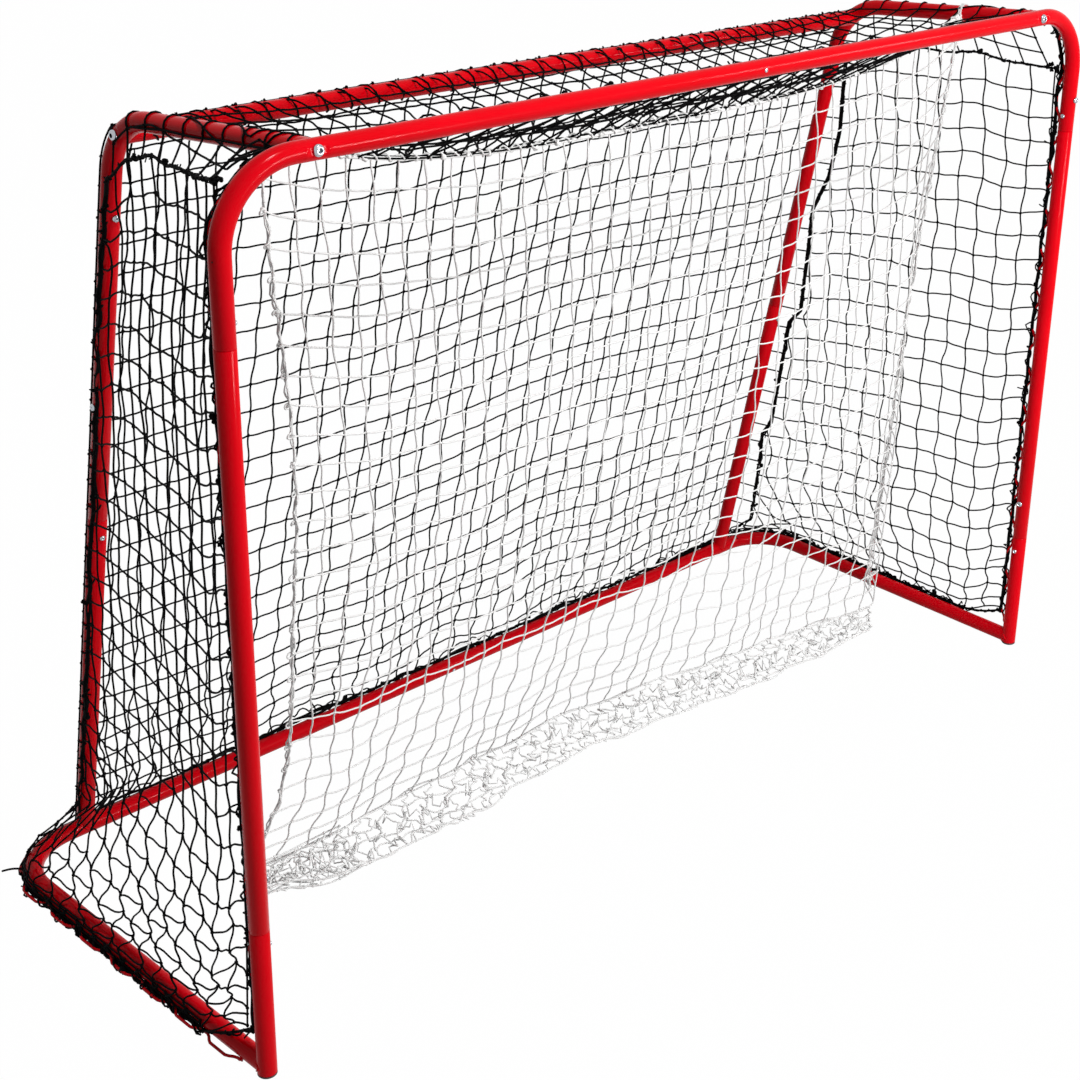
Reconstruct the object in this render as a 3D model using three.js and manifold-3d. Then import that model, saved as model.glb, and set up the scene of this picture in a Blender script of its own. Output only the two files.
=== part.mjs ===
// Floorball goal: a bolted frame of red steel tube, a black net round it and a white drop net inside.
// Millimetres, +Z up, +X to the right seen from the front, +Y from the mouth to the back.
// Places are written from the mouth: Y = 0 is the middle of the front tubes, Z = 0 is the floor.
// The finished group is then moved so that its origin lies under the middle of the goal.
import * as THREE from 'three';
import { mergeVertices } from 'three/addons/utils/BufferGeometryUtils.js';
import Module from 'manifold-3d';

const wasm = await Module();
wasm.setup();

// Mouth, depth and height of the frame
const mouthWidth = 1600;
const mouthHeight = 1150;
const baseDepth = 620;

// Steel tube, and the radii that it is bent to on its middle line
const tubeD = 25;
const tubeWall = 1.5;
const cornerBendR = 98;
const baseBendR = 95;
const hoopBendR = 100;

// Clearance between pieces that touch, and the overrun of every cut
const fitGap = 0.3;
const socketGap = 0.5;
const cutOver = 2;

// Joints where a reduced tube end slides into the next tube
const lowJointZ = 216.5;
const cornerLeg = 99.5;
const rearJointZ = 554;
const socketDepth = 60;
const neckLength = 6;
const jointScrewSetback = 26;

// Hoops: the side tubes that run from the crossbar back and down to the floor frame
const hoopInset = 120.5;
const railFallDeg = 5.9;
const uprightLeanDeg = 11.8;

// Bolts with a round head and a hexagon socket, their seats and their inserts
const boltD = 8;
const boltHeadD = 14;
const boltHeadH = 4.4;
const hexAcross = 5;
const hexSink = 2.6;
const seatD = 20;
const seatSink = 1.1;
const insertLength = 18;
const insertSetback = 8;

// Pan-head screws
const screwD = 4;
const screwHeadD = 7.5;
const screwHeadH = 2.6;
const screwLength = 12;
const netScrewHeadD = 10;
const postNetScrewRise = 68.5;
const postFrontScrewRise = 53;
const hoopFrontScrewDrop = 56;
const hoopOuterScrewRise = 177;

// Blind rivets, one in each long cross tube
const rivetD = 3.2;
const rivetHeadD = 6;
const rivetHeadH = 1.2;
const rivetLength = 5;
const crossbarRivetX = 29.6;
const baseRivetX = 2;
const topBarRivetX = 305;
const baseRivetFallDeg = 20;
const topBarRivetLiftDeg = 25;

// Foot caps
const capFlange = 3;
const capPlug = 15;

// Wire loops welded to the tubes, which the net is laced to
const wireD = 4;
const wireLoopPitch = 75;
const wireLoopReach = 8;
const baseWireZ = 5;
const wireEndClear = 14;
const loopSwingShares = [0, 1, 1];

// Black net: cord, panel places and coarse gap counts
const netCordWidth = 4;
const netThick = 2;
const backNetColumns = 11;
const backNetStraightRows = 5;
const backNetBendRows = 2;
const sideNetStraightGaps = 4;
const sideNetBendGaps = 3;
const sideNetUpperRows = 5;
const topNetColumns = 11;
const topNetRearRows = 2;
const dropNetGaps = [10, 6];
const sideNetTopDrop = 77.5;
const sideNetSkirt = 45;
const sideNetFlare = 200;

// Ropes sewn along the seams of the net
const seamRopeD = 6;
const cornerRopeTurnDeg = 30;
const cornerRopeFoot = 60;

// White drop net: it hangs on the top net behind the crossbar, sweeps back near the floor and its
// tail lies there
const dropNetY = 142;
const dropNetSweepPower = 2.3;
const bellyDrop = 78;
const headRopeD = 5;
const tailFrontY = 195;
const tailWander = 95;
const tailLeftInset = 63;
const tailRightInset = 23;
const tailHeight = 24;
const tailDepth = 70;
const tailFloorGap = 0.5;
// The tail's way along the floor, as shares of its length from the left and of its wander
const tailRouteShares = [[0, 1], [0.19, 0.15], [0.44, 1], [0.69, 0.75], [0.91, 0.7], [1, 0]];
const tieCordD = 3.5;
const tieKnotD = 11;
const tieOuterDeg = 15;
const railTieInnerDeg = 215;
const baseTieInnerDeg = 160;
const baseTieY = 321;

// Facet counts
const tubeSides = 12;
const holeSides = 8;
const bendSteps = 6;
const wireSides = 5;
const ropeSides = 6;
const ropeSteps = 8;
const cornerRopeBendSteps = 3;
const headSides = 8;
const hexSides = 6;
const tailSides = 10;
const tailSteps = 20;
const tieSteps = 10;

// Sizes worked out from the values above
const rad = THREE.MathUtils.degToRad;
const tubeR = tubeD / 2;
const boreR = tubeR - tubeWall;
const spigotR = boreR - socketGap;
const spigotBoreR = spigotR - tubeWall;
const postX = mouthWidth / 2 + tubeR;
const barZ = mouthHeight + tubeR;
const highJointZ = barZ - cornerBendR - cornerLeg;
const hoopX = postX - hoopInset;
const copeStart = tubeR / 3;
const railFall = rad(railFallDeg);
const uprightLean = rad(uprightLeanDeg);
const wireR = wireD / 2;
const wireClose = tubeR + fitGap + wireR;
const netHalf = netThick / 2;
const nudgeShare = 0.001;
const UP = new THREE.Vector3(0, 0, 1);
const RIGHT = new THREE.Vector3(1, 0, 0);
const LEFT = new THREE.Vector3(-1, 0, 0);
const BACK = new THREE.Vector3(0, 1, 0);

// Hoop layout in its own upright plane. The rail falls from the crossbar, the upright leans
// forward from the rear floor tube, and both meet at a corner that the bend rounds off.
const railDir = new THREE.Vector3(0, Math.cos(railFall), -Math.sin(railFall));
const uprightDir = new THREE.Vector3(0, -Math.sin(uprightLean), Math.cos(uprightLean));
const uprightBack = new THREE.Vector3(0, Math.cos(uprightLean), Math.sin(uprightLean));
const hoopHeight = barZ - tubeR;
const hoopSpread = Math.cos(railFall + uprightLean);
const uprightReach = (hoopHeight * Math.cos(railFall) - baseDepth * Math.sin(railFall)) / hoopSpread;
const hoopTurn = Math.PI / 2 - railFall - uprightLean;
const hoopTangent = hoopBendR * Math.tan(hoopTurn / 2);
const uprightStraight = uprightReach - hoopTangent;
const uprightFoot = new THREE.Vector3(0, baseDepth, tubeR);
const hoopBendCentre = uprightFoot.clone()
  .addScaledVector(uprightDir, uprightStraight)
  .addScaledVector(uprightBack, -hoopBendR);

// Middle line of a hoop: distance 0 is at the rear floor tube, and it runs up and over the bend.
function hoopAt(distance) {
  if (distance <= uprightStraight) {
    const point = uprightFoot.clone().addScaledVector(uprightDir, distance);
    return { point, outward: uprightBack.clone() };
  }
  const turn = (distance - uprightStraight) / hoopBendR;
  const outward = uprightBack.clone().multiplyScalar(Math.cos(turn))
    .addScaledVector(uprightDir, Math.sin(turn));
  return { point: hoopBendCentre.clone().addScaledVector(outward, hoopBendR), outward };
}

const hoopArcLength = hoopBendR * hoopTurn;
const hoopMiddle = uprightStraight + hoopArcLength / 2;
const topBarAt = hoopAt(hoopMiddle).point;

// Materials, one per finish
const paint = new THREE.MeshStandardMaterial({ color: 0xc8000f, roughness: 0.25, metalness: 0.1 });
const zinc = new THREE.MeshStandardMaterial({ color: 0xc9ced2, roughness: 0.25, metalness: 0.9 });
const steel = new THREE.MeshStandardMaterial({ color: 0x8d9094, roughness: 0.45, metalness: 0.8 });
const rubber = new THREE.MeshStandardMaterial({ color: 0x2a0508, roughness: 0.7, metalness: 0 });
const blackCord = new THREE.MeshStandardMaterial({ color: 0x0b0b0c, roughness: 0.85, metalness: 0 });
const whiteCord = new THREE.MeshStandardMaterial({ color: 0xe9e9e6, roughness: 0.85, metalness: 0 });

const goal = new THREE.Group();

function add(name, geometry, material) {
  const mesh = new THREE.Mesh(geometry, material);
  mesh.name = name;
  goal.add(mesh);
}

// Solid from a closed geometry, for cutting and joining.
function solid(geometry) {
  const bare = geometry.clone();
  bare.deleteAttribute('normal');
  bare.deleteAttribute('uv');
  const merged = mergeVertices(bare);
  return new wasm.Manifold(new wasm.Mesh({
    numProp: 3,
    vertProperties: new Float32Array(merged.attributes.position.array),
    triVerts: new Uint32Array(merged.index.array),
  }));
}

function fromSolid(body) {
  const { vertProperties, triVerts } = body.getMesh();
  const geometry = new THREE.BufferGeometry();
  geometry.setAttribute('position', new THREE.BufferAttribute(vertProperties, 3));
  geometry.setIndex(new THREE.BufferAttribute(triVerts, 1));
  return geometry;
}

const cutAll = (body, cutters) => cutters.reduce((rest, cutter) => rest.subtract(cutter), body);

// Path of straight runs joined by round bends, sampled only where a ring of the tube is needed.
class StationPath extends THREE.Curve {
  constructor(stations) {
    super();
    this.stations = stations;
  }

  get steps() {
    return this.stations.length - 1;
  }

  stationAt(share) {
    return this.stations[Math.round(share * this.steps)];
  }

  getPointAt(share, target = new THREE.Vector3()) {
    return target.copy(this.stationAt(share).point);
  }

  getTangentAt(share, target = new THREE.Vector3()) {
    return target.copy(this.stationAt(share).tangent);
  }
}

function bentPath(corners, bendR) {
  const first = corners[0];
  const last = corners[corners.length - 1];
  const heading = (from, to) => to.clone().sub(from).normalize();
  const stations = [{ point: first, tangent: heading(first, corners[1]) }];
  for (let i = 1; i < corners.length - 1; i += 1) {
    const into = heading(corners[i - 1], corners[i]);
    const out = heading(corners[i], corners[i + 1]);
    const turn = into.angleTo(out);
    const inward = out.clone().addScaledVector(into, -out.dot(into)).normalize();
    const centre = corners[i].clone()
      .addScaledVector(into, -bendR * Math.tan(turn / 2))
      .addScaledVector(inward, bendR);
    for (let step = 0; step <= bendSteps; step += 1) {
      const angle = turn * (step / bendSteps);
      stations.push({
        point: centre.clone()
          .addScaledVector(inward, -bendR * Math.cos(angle))
          .addScaledVector(into, bendR * Math.sin(angle)),
        tangent: into.clone().multiplyScalar(Math.cos(angle))
          .addScaledVector(inward, Math.sin(angle)),
      });
    }
  }
  stations.push({ point: last, tangent: heading(corners[corners.length - 2], last) });
  return new StationPath(stations);
}

// Path through points, with tangents from their neighbours.
function pointPath(points) {
  const end = points.length - 1;
  return new StationPath(points.map((point, i) => ({
    point,
    tangent: points[Math.min(i + 1, end)].clone().sub(points[Math.max(i - 1, 0)]).normalize(),
  })));
}

function circle(radius, bore = 0) {
  const shape = new THREE.Shape();
  shape.absarc(0, 0, radius, 0, 2 * Math.PI);
  if (bore > 0) {
    const hole = new THREE.Path();
    hole.absarc(0, 0, bore, 0, 2 * Math.PI);
    shape.holes.push(hole);
  }
  return shape;
}

function sweep(path, shape, sides) {
  return new THREE.ExtrudeGeometry(shape, {
    steps: path.steps, curveSegments: sides / 2, extrudePath: path, bevelEnabled: false,
  });
}

// Cylinder whose base centre is at a point, running along a direction.
function cylinder(from, direction, radius, length, sides = tubeSides) {
  const geometry = new THREE.CylinderGeometry(radius, radius, length, sides);
  const centre = from.clone().addScaledVector(direction, length / 2);
  const turn = new THREE.Quaternion().setFromUnitVectors(BACK, direction);
  return geometry.applyMatrix4(new THREE.Matrix4().compose(centre, turn, new THREE.Vector3(1, 1, 1)));
}

// Lathe profile of [radius, height] pairs, turned so that its height runs along a direction.
function turned(profile, from, direction, sides) {
  const geometry = new THREE.LatheGeometry(profile.map(([r, h]) => new THREE.Vector2(r, h)), sides);
  const turn = new THREE.Quaternion().setFromUnitVectors(BACK, direction);
  return geometry.applyMatrix4(new THREE.Matrix4().compose(from, turn, new THREE.Vector3(1, 1, 1)));
}

const at = (x, y, z) => new THREE.Vector3(x, y, z);
const onPlane = (x, point) => at(x, point.y, point.z);
const sides = [['left', -1], ['right', 1]];

// Bolt with a domed head, seated with its underside at a point and facing along a direction.
function bolt(seat, facing, length) {
  const profile = [
    [0, -length], [boltD / 2, -length], [boltD / 2, 0], [boltHeadD / 2, 0],
    [boltHeadD / 2, boltHeadH / 3], [boltHeadD / 3, boltHeadH], [0, boltHeadH],
  ];
  const hexFrom = seat.clone().addScaledVector(facing, boltHeadH - hexSink);
  const hexR = hexAcross / 2 / Math.cos(Math.PI / hexSides);
  return fromSolid(solid(turned(profile, seat, facing, headSides))
    .subtract(solid(cylinder(hexFrom, facing, hexR, hexSink + cutOver, hexSides))));
}

function screw(seat, facing, headD = screwHeadD) {
  const profile = [
    [0, -screwLength], [screwD / 2, -screwLength], [screwD / 2, 0], [headD / 2, 0],
    [headD / 2, screwHeadH / 3], [headD / 4, screwHeadH], [0, screwHeadH],
  ];
  return turned(profile, seat, facing, headSides);
}

function rivet(seat, facing) {
  const profile = [
    [0, -rivetLength], [rivetD / 2, -rivetLength], [rivetD / 2, 0], [rivetHeadD / 2, 0],
    [rivetHeadD / 4, rivetHeadH], [0, rivetHeadH],
  ];
  return turned(profile, seat, facing, headSides);
}

// Hole for a shank that enters a tube's outer wall from a seat.
function shankHole(seat, facing, shankD, depth) {
  const from = seat.clone().addScaledVector(facing, cutOver);
  return solid(cylinder(from, facing.clone().negate(), shankD / 2 + fitGap, depth + cutOver, holeSides));
}

// Seats of the small fasteners: a point on a tube's skin, and the way the head faces.
const skin = (centre, facing) => ({
  seat: centre.clone().addScaledVector(facing, tubeR + fitGap), facing,
});
const inner = (side) => at(-side, 0, 0);
const highScrew = (side) => skin(at(side * postX, 0, highJointZ + jointScrewSetback), inner(side));
const lowScrew = (side) => skin(at(side * postX, 0, lowJointZ - jointScrewSetback), inner(side));
const postNetScrew = (side) => skin(at(side * postX, 0, lowJointZ + postNetScrewRise), inner(side));
const postFrontScrew = skin(at(postX, 0, highJointZ + postFrontScrewRise), BACK.clone().negate());
// Distance up the upright from the middle of the rear floor tube
const rearJointAt = (rearJointZ - tubeR) / Math.cos(uprightLean);
const hoopSkin = (side, distance, facing) => skin(onPlane(side * hoopX, hoopAt(distance).point), facing);
const uprightFront = uprightBack.clone().negate();
const rearJointScrew = (side) => hoopSkin(side, rearJointAt - jointScrewSetback, uprightFront);
const hoopFrontScrew = (side) => hoopSkin(side, uprightStraight - hoopFrontScrewDrop, uprightFront);
const hoopOuterScrew = (side) => hoopSkin(side, rearJointAt + hoopOuterScrewRise, at(side, 0, 0));
const crossbarRivet = skin(at(crossbarRivetX, 0, barZ), BACK.clone().negate());
const leaned = (degrees) => at(0, -Math.cos(rad(degrees)), Math.sin(rad(degrees)));
const baseRivet = skin(at(baseRivetX, baseDepth, tubeR), leaned(-baseRivetFallDeg));
const topBarRivet = skin(onPlane(topBarRivetX, topBarAt), leaned(topBarRivetLiftDeg));

// The four bolts: centre of the tube that the bolt crosses, and the way the head faces
const frontBolt = (side) => ({ centre: at(side * hoopX, 0, barZ), facing: railDir.clone().negate() });
const rearBolt = (side) => ({ centre: onPlane(side * hoopX, topBarAt), facing: at(side, 0, 0) });
const boltSeat = ({ centre, facing }) => centre.clone()
  .addScaledVector(facing, tubeR - seatSink + fitGap);
const boltReach = tubeR - seatSink + fitGap + tubeR + insertSetback + insertLength;

// Pressed seat for a bolt head: a flat dent in the wall with the pushed-in metal behind it.
function pressSeat(body, { centre, facing }) {
  const back = facing.clone().negate();
  const dent = centre.clone().addScaledVector(facing, tubeR + cutOver);
  const metal = centre.clone().addScaledVector(facing, tubeR - seatSink);
  const metalDepth = 2 * tubeWall;
  const far = centre.clone().addScaledVector(back, tubeR + cutOver);
  return body
    .add(solid(cylinder(metal, back, seatD / 2, metalDepth)))
    .subtract(solid(cylinder(dent, back, seatD / 2, seatSink + cutOver)))
    .subtract(solid(cylinder(far, facing, boltD / 2 + fitGap, tubeD + 2 * cutOver, holeSides)));
}

// Front frame: crossbar with both corner bends, down to the upper joints of the posts
function frontFrame() {
  const path = bentPath([
    at(-postX, 0, highJointZ + fitGap), at(-postX, 0, barZ),
    at(postX, 0, barZ), at(postX, 0, highJointZ + fitGap),
  ], cornerBendR);
  const tube = solid(sweep(path, circle(tubeR, boreR), tubeSides));
  const body = sides.reduce((rest, [, side]) => pressSeat(rest, frontBolt(side)), tube);
  const holes = sides.map(([, side]) => highScrew(side))
    .map(({ seat, facing }) => shankHole(seat, facing, screwD, screwLength));
  holes.push(shankHole(crossbarRivet.seat, crossbarRivet.facing, rivetD, rivetLength));
  holes.push(shankHole(postFrontScrew.seat, postFrontScrew.facing, screwD, screwLength));
  return fromSolid(cutAll(body, holes));
}

// Post tube: straight tube whose two ends are reduced to slide into the tubes above and below
function postTube(side) {
  const profile = [
    [spigotR, lowJointZ - socketDepth], [spigotR, lowJointZ], [tubeR, lowJointZ],
    [tubeR, highJointZ], [spigotR, highJointZ], [spigotR, highJointZ + socketDepth],
    [spigotBoreR, highJointZ + socketDepth], [spigotBoreR, highJointZ - neckLength / 2],
    [boreR, highJointZ - neckLength], [boreR, lowJointZ + neckLength],
    [spigotBoreR, lowJointZ + neckLength / 2], [spigotBoreR, lowJointZ - socketDepth],
    [spigotR, lowJointZ - socketDepth],
  ];
  const body = solid(turned(profile, at(side * postX, 0, 0), UP, tubeSides));
  const holes = [highScrew(side), lowScrew(side), postNetScrew(side)]
    .map(({ seat, facing }) => shankHole(seat, facing, screwD, screwLength));
  if (side > 0) holes.push(shankHole(postFrontScrew.seat, postFrontScrew.facing, screwD, screwLength));
  return fromSolid(cutAll(body, holes));
}

// Floor frame: one bent tube round the sides and the back, with a short post welded at each front end
function baseFrame() {
  const path = bentPath([
    at(-postX, 0, tubeR), at(-postX, baseDepth, tubeR),
    at(postX, baseDepth, tubeR), at(postX, 0, tubeR),
  ], baseBendR);
  const footTop = lowJointZ - fitGap;
  const foot = (side, radius, over) => solid(cylinder(
    at(side * postX, 0, capFlange - over), UP, radius, footTop - capFlange + 2 * over));
  const capRoom = (side) => solid(cylinder(
    at(side * postX, 0, -cutOver), UP, tubeR + fitGap, capFlange + cutOver));
  let body = solid(sweep(path, circle(tubeR), tubeSides));
  body = sides.reduce((rest, [, side]) => rest.subtract(capRoom(side)).add(foot(side, tubeR, 0)), body);
  const cuts = sides.map(([, side]) => foot(side, boreR, cutOver));
  cuts.push(solid(sweep(path, circle(boreR), tubeSides)));
  cuts.push(shankHole(baseRivet.seat, baseRivet.facing, rivetD, rivetLength));
  cuts.push(...sides.map(([, side]) => lowScrew(side))
    .map(({ seat, facing }) => shankHole(seat, facing, screwD, screwLength)));
  return fromSolid(cutAll(body, cuts));
}

// Foot cap: plastic plug in the bottom of each front post, with a flange that stands on the floor
function footCap(side) {
  const profile = [
    [0, 0], [tubeR, 0], [tubeR, capFlange - fitGap], [spigotR, capFlange - fitGap],
    [spigotR, capFlange + capPlug], [0, capFlange + capPlug],
  ];
  return turned(profile, at(side * postX, 0, 0), UP, tubeSides);
}

// Rear post: lower part of the upright, coped over the rear floor tube
function rearPost(side) {
  const foot = onPlane(side * hoopX, uprightFoot);
  const from = foot.clone().addScaledVector(uprightDir, copeStart);
  const length = rearJointAt - fitGap - copeStart;
  const body = solid(cylinder(from, uprightDir, tubeR, length))
    .subtract(solid(cylinder(foot, uprightDir, boreR, rearJointAt + cutOver)))
    .subtract(solid(cylinder(foot.addScaledVector(RIGHT, -tubeD), RIGHT, tubeR + fitGap, 2 * tubeD)));
  const { seat, facing } = rearJointScrew(side);
  return fromSolid(body.subtract(shankHole(seat, facing, screwD, screwLength)));
}

// Middle line of a hoop from its front end on the crossbar to its lower joint, as a bent path
function hoopPath(side, startAt, endAt) {
  const x = side * hoopX;
  const corner = onPlane(x, uprightFoot.clone().addScaledVector(uprightDir, uprightReach));
  return bentPath([
    at(x, 0, barZ).addScaledVector(railDir, startAt), corner,
    onPlane(x, hoopAt(endAt).point),
  ], hoopBendR);
}

// Hoop: rail, bend and upper upright in one tube. Its front end is coped to the crossbar and its
// lower end is reduced to slide into the rear post.
function hoop(side) {
  const joint = onPlane(side * hoopX, hoopAt(rearJointAt).point);
  const neck = joint.clone().addScaledVector(uprightDir, neckLength);
  const down = uprightDir.clone().negate();
  const spigot = solid(cylinder(neck, down, boreR + tubeWall / 2, neckLength))
    .add(solid(cylinder(neck, down, spigotR, neckLength + socketDepth)))
    .subtract(solid(cylinder(neck.clone().addScaledVector(uprightDir, cutOver), down,
      spigotBoreR, neckLength + socketDepth + 2 * cutOver)));
  const tube = solid(sweep(hoopPath(side, copeStart, rearJointAt), circle(tubeR, boreR), tubeSides));
  const barRoom = solid(cylinder(at(side * hoopX - tubeD, 0, barZ), RIGHT, tubeR + fitGap, 2 * tubeD));
  const body = pressSeat(tube.add(spigot).subtract(barRoom), rearBolt(side));
  const holes = [rearJointScrew(side), hoopFrontScrew(side), hoopOuterScrew(side)]
    .map(({ seat, facing }) => shankHole(seat, facing, screwD, screwLength));
  return fromSolid(cutAll(body, holes));
}

// Rear top bar: straight tube between the bends of the hoops, coped to both
function rearTopBar() {
  const from = onPlane(-hoopX, topBarAt);
  const hoopRoom = (side) => solid(sweep(
    hoopPath(side, tubeD, uprightStraight / 2), circle(tubeR + fitGap), tubeSides));
  return fromSolid(cutAll(solid(cylinder(from, RIGHT, tubeR, 2 * hoopX)), [
    solid(cylinder(from.clone().addScaledVector(RIGHT, -cutOver), RIGHT, boreR, 2 * (hoopX + cutOver))),
    ...sides.map(([, side]) => hoopRoom(side)),
    shankHole(topBarRivet.seat, topBarRivet.facing, rivetD, rivetLength),
  ]));
}

// Threaded insert in the end of the tube that a bolt pulls against
function insert({ centre, facing }) {
  const into = facing.clone().negate();
  const from = centre.clone().addScaledVector(into, tubeR + insertSetback);
  const boltRoomR = boltD / 2 + fitGap;
  const profile = [
    [boltRoomR, 0], [spigotR, 0], [spigotR, insertLength], [boltRoomR, insertLength], [boltRoomR, 0],
  ];
  return turned(profile, from, into, headSides);
}

// Wire that touches the tube, swings out in a loop and comes back, again and again. The place
// function gives a point of the tube's middle line and the way the loops point, by distance.
function loopWire(place, length, close) {
  const loops = Math.max(1, Math.round(length / wireLoopPitch));
  const stations = loops * loopSwingShares.length;
  const points = [];
  for (let i = 0; i <= stations; i += 1) {
    const { point, away, lift } = place(length * (i / stations));
    const swing = loopSwingShares[i % loopSwingShares.length];
    points.push(point.clone()
      .addScaledVector(away, close + wireLoopReach * swing)
      .addScaledVector(UP, lift ?? 0));
  }
  return sweep(pointPath(points), circle(wireR), wireSides);
}

const straightPlace = (from, direction, away) => (distance) => ({
  point: from.clone().addScaledVector(direction, distance), away,
});

// Distance along a bent run: a straight, a quarter bend and a second straight in one plane.
function cornerPlace(corner, into, out, bendR, lead) {
  const arc = bendR * (Math.PI / 2);
  return (distance) => {
    if (distance < lead) {
      const point = corner.clone().addScaledVector(into, distance - lead - bendR);
      return { point, turn: 0 };
    }
    if (distance < lead + arc) {
      const turn = (distance - lead) / bendR;
      const point = corner.clone().addScaledVector(into, -bendR).addScaledVector(out, bendR)
        .addScaledVector(into, bendR * Math.sin(turn)).addScaledVector(out, -bendR * Math.cos(turn));
      return { point, turn };
    }
    const point = corner.clone().addScaledVector(out, bendR + distance - lead - arc);
    return { point, turn: Math.PI / 2 };
  };
}

// Wire round a front corner, behind the bend
function cornerWire(side) {
  const lead = cornerLeg - wireEndClear;
  const run = cornerPlace(at(side * postX, 0, barZ), UP, inner(side), cornerBendR, lead);
  const length = lead + cornerBendR * (Math.PI / 2);
  return loopWire((distance) => ({ point: run(distance).point, away: BACK }), length, wireClose);
}

// Wire round the floor frame, low on the outside
const baseWireDrop = tubeR - baseWireZ;
const baseWireClose = Math.sqrt(wireClose * wireClose - baseWireDrop * baseWireDrop);
const sideRun = baseDepth - baseBendR - wireEndClear - tubeD;
const bendRun = baseBendR * (Math.PI / 2);
const baseWireLength = 2 * (sideRun + bendRun + postX - baseBendR);

function basePlace(distance) {
  const side = distance <= baseWireLength / 2 ? -1 : 1;
  const walked = side < 0 ? distance : baseWireLength - distance;
  const run = cornerPlace(at(side * postX, baseDepth, tubeR), BACK, inner(side), baseBendR, sideRun);
  const { point, turn } = run(walked);
  return { point, away: at(side * Math.cos(turn), Math.sin(turn), 0), lift: -baseWireDrop };
}

// Cord lines of a net, evenly spaced along a length
const evenLines = (gaps, length) => Array.from({ length: gaps + 1 }, (_, i) => length * (i / gaps));

// Both edges of each cord, as shares of the length that the cord lines cover
function cordEdgeShares(lines) {
  const end = lines[lines.length - 1];
  const clamp = (place) => THREE.MathUtils.clamp(place, netCordWidth / 2, end - netCordWidth / 2);
  return lines.flatMap((line) => [
    (clamp(line) - netCordWidth / 2) / end, (clamp(line) + netCordWidth / 2) / end,
  ]);
}

// Net panel: a thin sheet on a surface, pierced by rows of gaps, as one closed mesh. The surface
// takes two shares from 0 to 1 and gives the panel's middle point there.
function netPanel(surface, linesAcross, linesUp) {
  const us = cordEdgeShares(linesAcross);
  const vs = cordEdgeShares(linesUp);
  const columns = us.length;
  const positions = [];
  const normalAt = (u, v) => {
    const du = surface(Math.min(u + nudgeShare, 1), v).sub(surface(Math.max(u - nudgeShare, 0), v));
    const dv = surface(u, Math.min(v + nudgeShare, 1)).sub(surface(u, Math.max(v - nudgeShare, 0)));
    return du.cross(dv).normalize();
  };
  for (const face of [1, -1]) {
    for (const v of vs) {
      for (const u of us) {
        positions.push(...surface(u, v).addScaledVector(normalAt(u, v), face * netHalf).toArray());
      }
    }
  }
  const layer = columns * vs.length;
  const isGap = (i, j) => i % 2 === 1 && j % 2 === 1;
  const solidCell = (i, j) => i >= 0 && j >= 0 && i < columns - 1 && j < vs.length - 1 && !isGap(i, j);
  const index = [];
  const quad = (a, b, c, d) => index.push(a, b, c, a, c, d);
  for (let j = 0; j < vs.length - 1; j += 1) {
    for (let i = 0; i < columns - 1; i += 1) {
      if (!solidCell(i, j)) continue;
      const a = j * columns + i;
      const b = a + 1;
      const c = b + columns;
      const d = a + columns;
      quad(a, b, c, d);
      quad(layer + d, layer + c, layer + b, layer + a);
      if (!solidCell(i, j - 1)) quad(layer + a, layer + b, b, a);
      if (!solidCell(i + 1, j)) quad(layer + b, layer + c, c, b);
      if (!solidCell(i, j + 1)) quad(layer + c, layer + d, d, c);
      if (!solidCell(i - 1, j)) quad(layer + d, layer + a, a, d);
    }
  }
  const geometry = new THREE.BufferGeometry();
  geometry.setAttribute('position', new THREE.Float32BufferAttribute(positions, 3));
  geometry.setIndex(index);
  return geometry;
}

const mix = THREE.MathUtils.lerp;
const netClear = tubeR + fitGap + netHalf;

// Back net: behind the uprights, from the rear floor tube to the middle of the hoops' bends
const backNetX = hoopX + tubeR;
const backNetLines = [
  ...evenLines(backNetStraightRows, uprightStraight),
  ...evenLines(backNetBendRows, hoopArcLength / 2).slice(1).map((line) => uprightStraight + line),
];
const backNetSurface = (u, v) => {
  const { point, outward } = hoopAt(hoopMiddle * v);
  return onPlane(mix(-backNetX, backNetX, u), point).addScaledVector(outward, netClear);
};

// Side net: straight from the post's wire loops to the rope on the upright, then flared out to a
// skirt that stands outside the floor tube, far enough out for its straight cords to clear the bend
const sideNetFrontY = wireClose + wireR + wireLoopReach + fitGap;
const cornerRopeTurn = rad(cornerRopeTurnDeg);
const cornerRopeOut = tubeR + seamRopeD / 2 + 2 * fitGap;
const cornerRopeX = hoopX + cornerRopeOut * Math.cos(cornerRopeTurn);
const cornerRopeBack = cornerRopeOut * Math.sin(cornerRopeTurn);
const sideNetRearX = cornerRopeX + seamRopeD / 2 + fitGap + netHalf;
const sideNetFootR = (baseBendR + netClear + fitGap) / Math.cos(Math.PI / 4 / sideNetBendGaps);
const sideNetFootOut = sideNetFootR - baseBendR;
const sideNetLead = baseDepth - baseBendR - sideNetFrontY;
const sideNetTail = postX - baseBendR - sideNetRearX;
const sideNetLength = sideNetLead + bendRun + sideNetTail;
const sideNetTopZ = barZ - sideNetTopDrop;
const sideNetRearLength = uprightStraight + hoopArcLength / 3;

function sideNetFoot(share) {
  const run = cornerPlace(at(postX, baseDepth, tubeR), BACK, LEFT, baseBendR, sideNetLead);
  const { point, turn } = run(sideNetLength * share);
  return point.addScaledVector(at(Math.cos(turn), Math.sin(turn), 0), sideNetFootOut);
}

const sideNetLines = [
  ...evenLines(sideNetStraightGaps, sideNetLead),
  ...evenLines(sideNetBendGaps, bendRun).slice(1, -1).map((line) => sideNetLead + line),
  sideNetLength,
];

const sideNetRowLines = [
  0, sideNetSkirt,
  ...evenLines(sideNetUpperRows, sideNetTopZ - sideNetFlare).map((line) => sideNetFlare + line),
];

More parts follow.
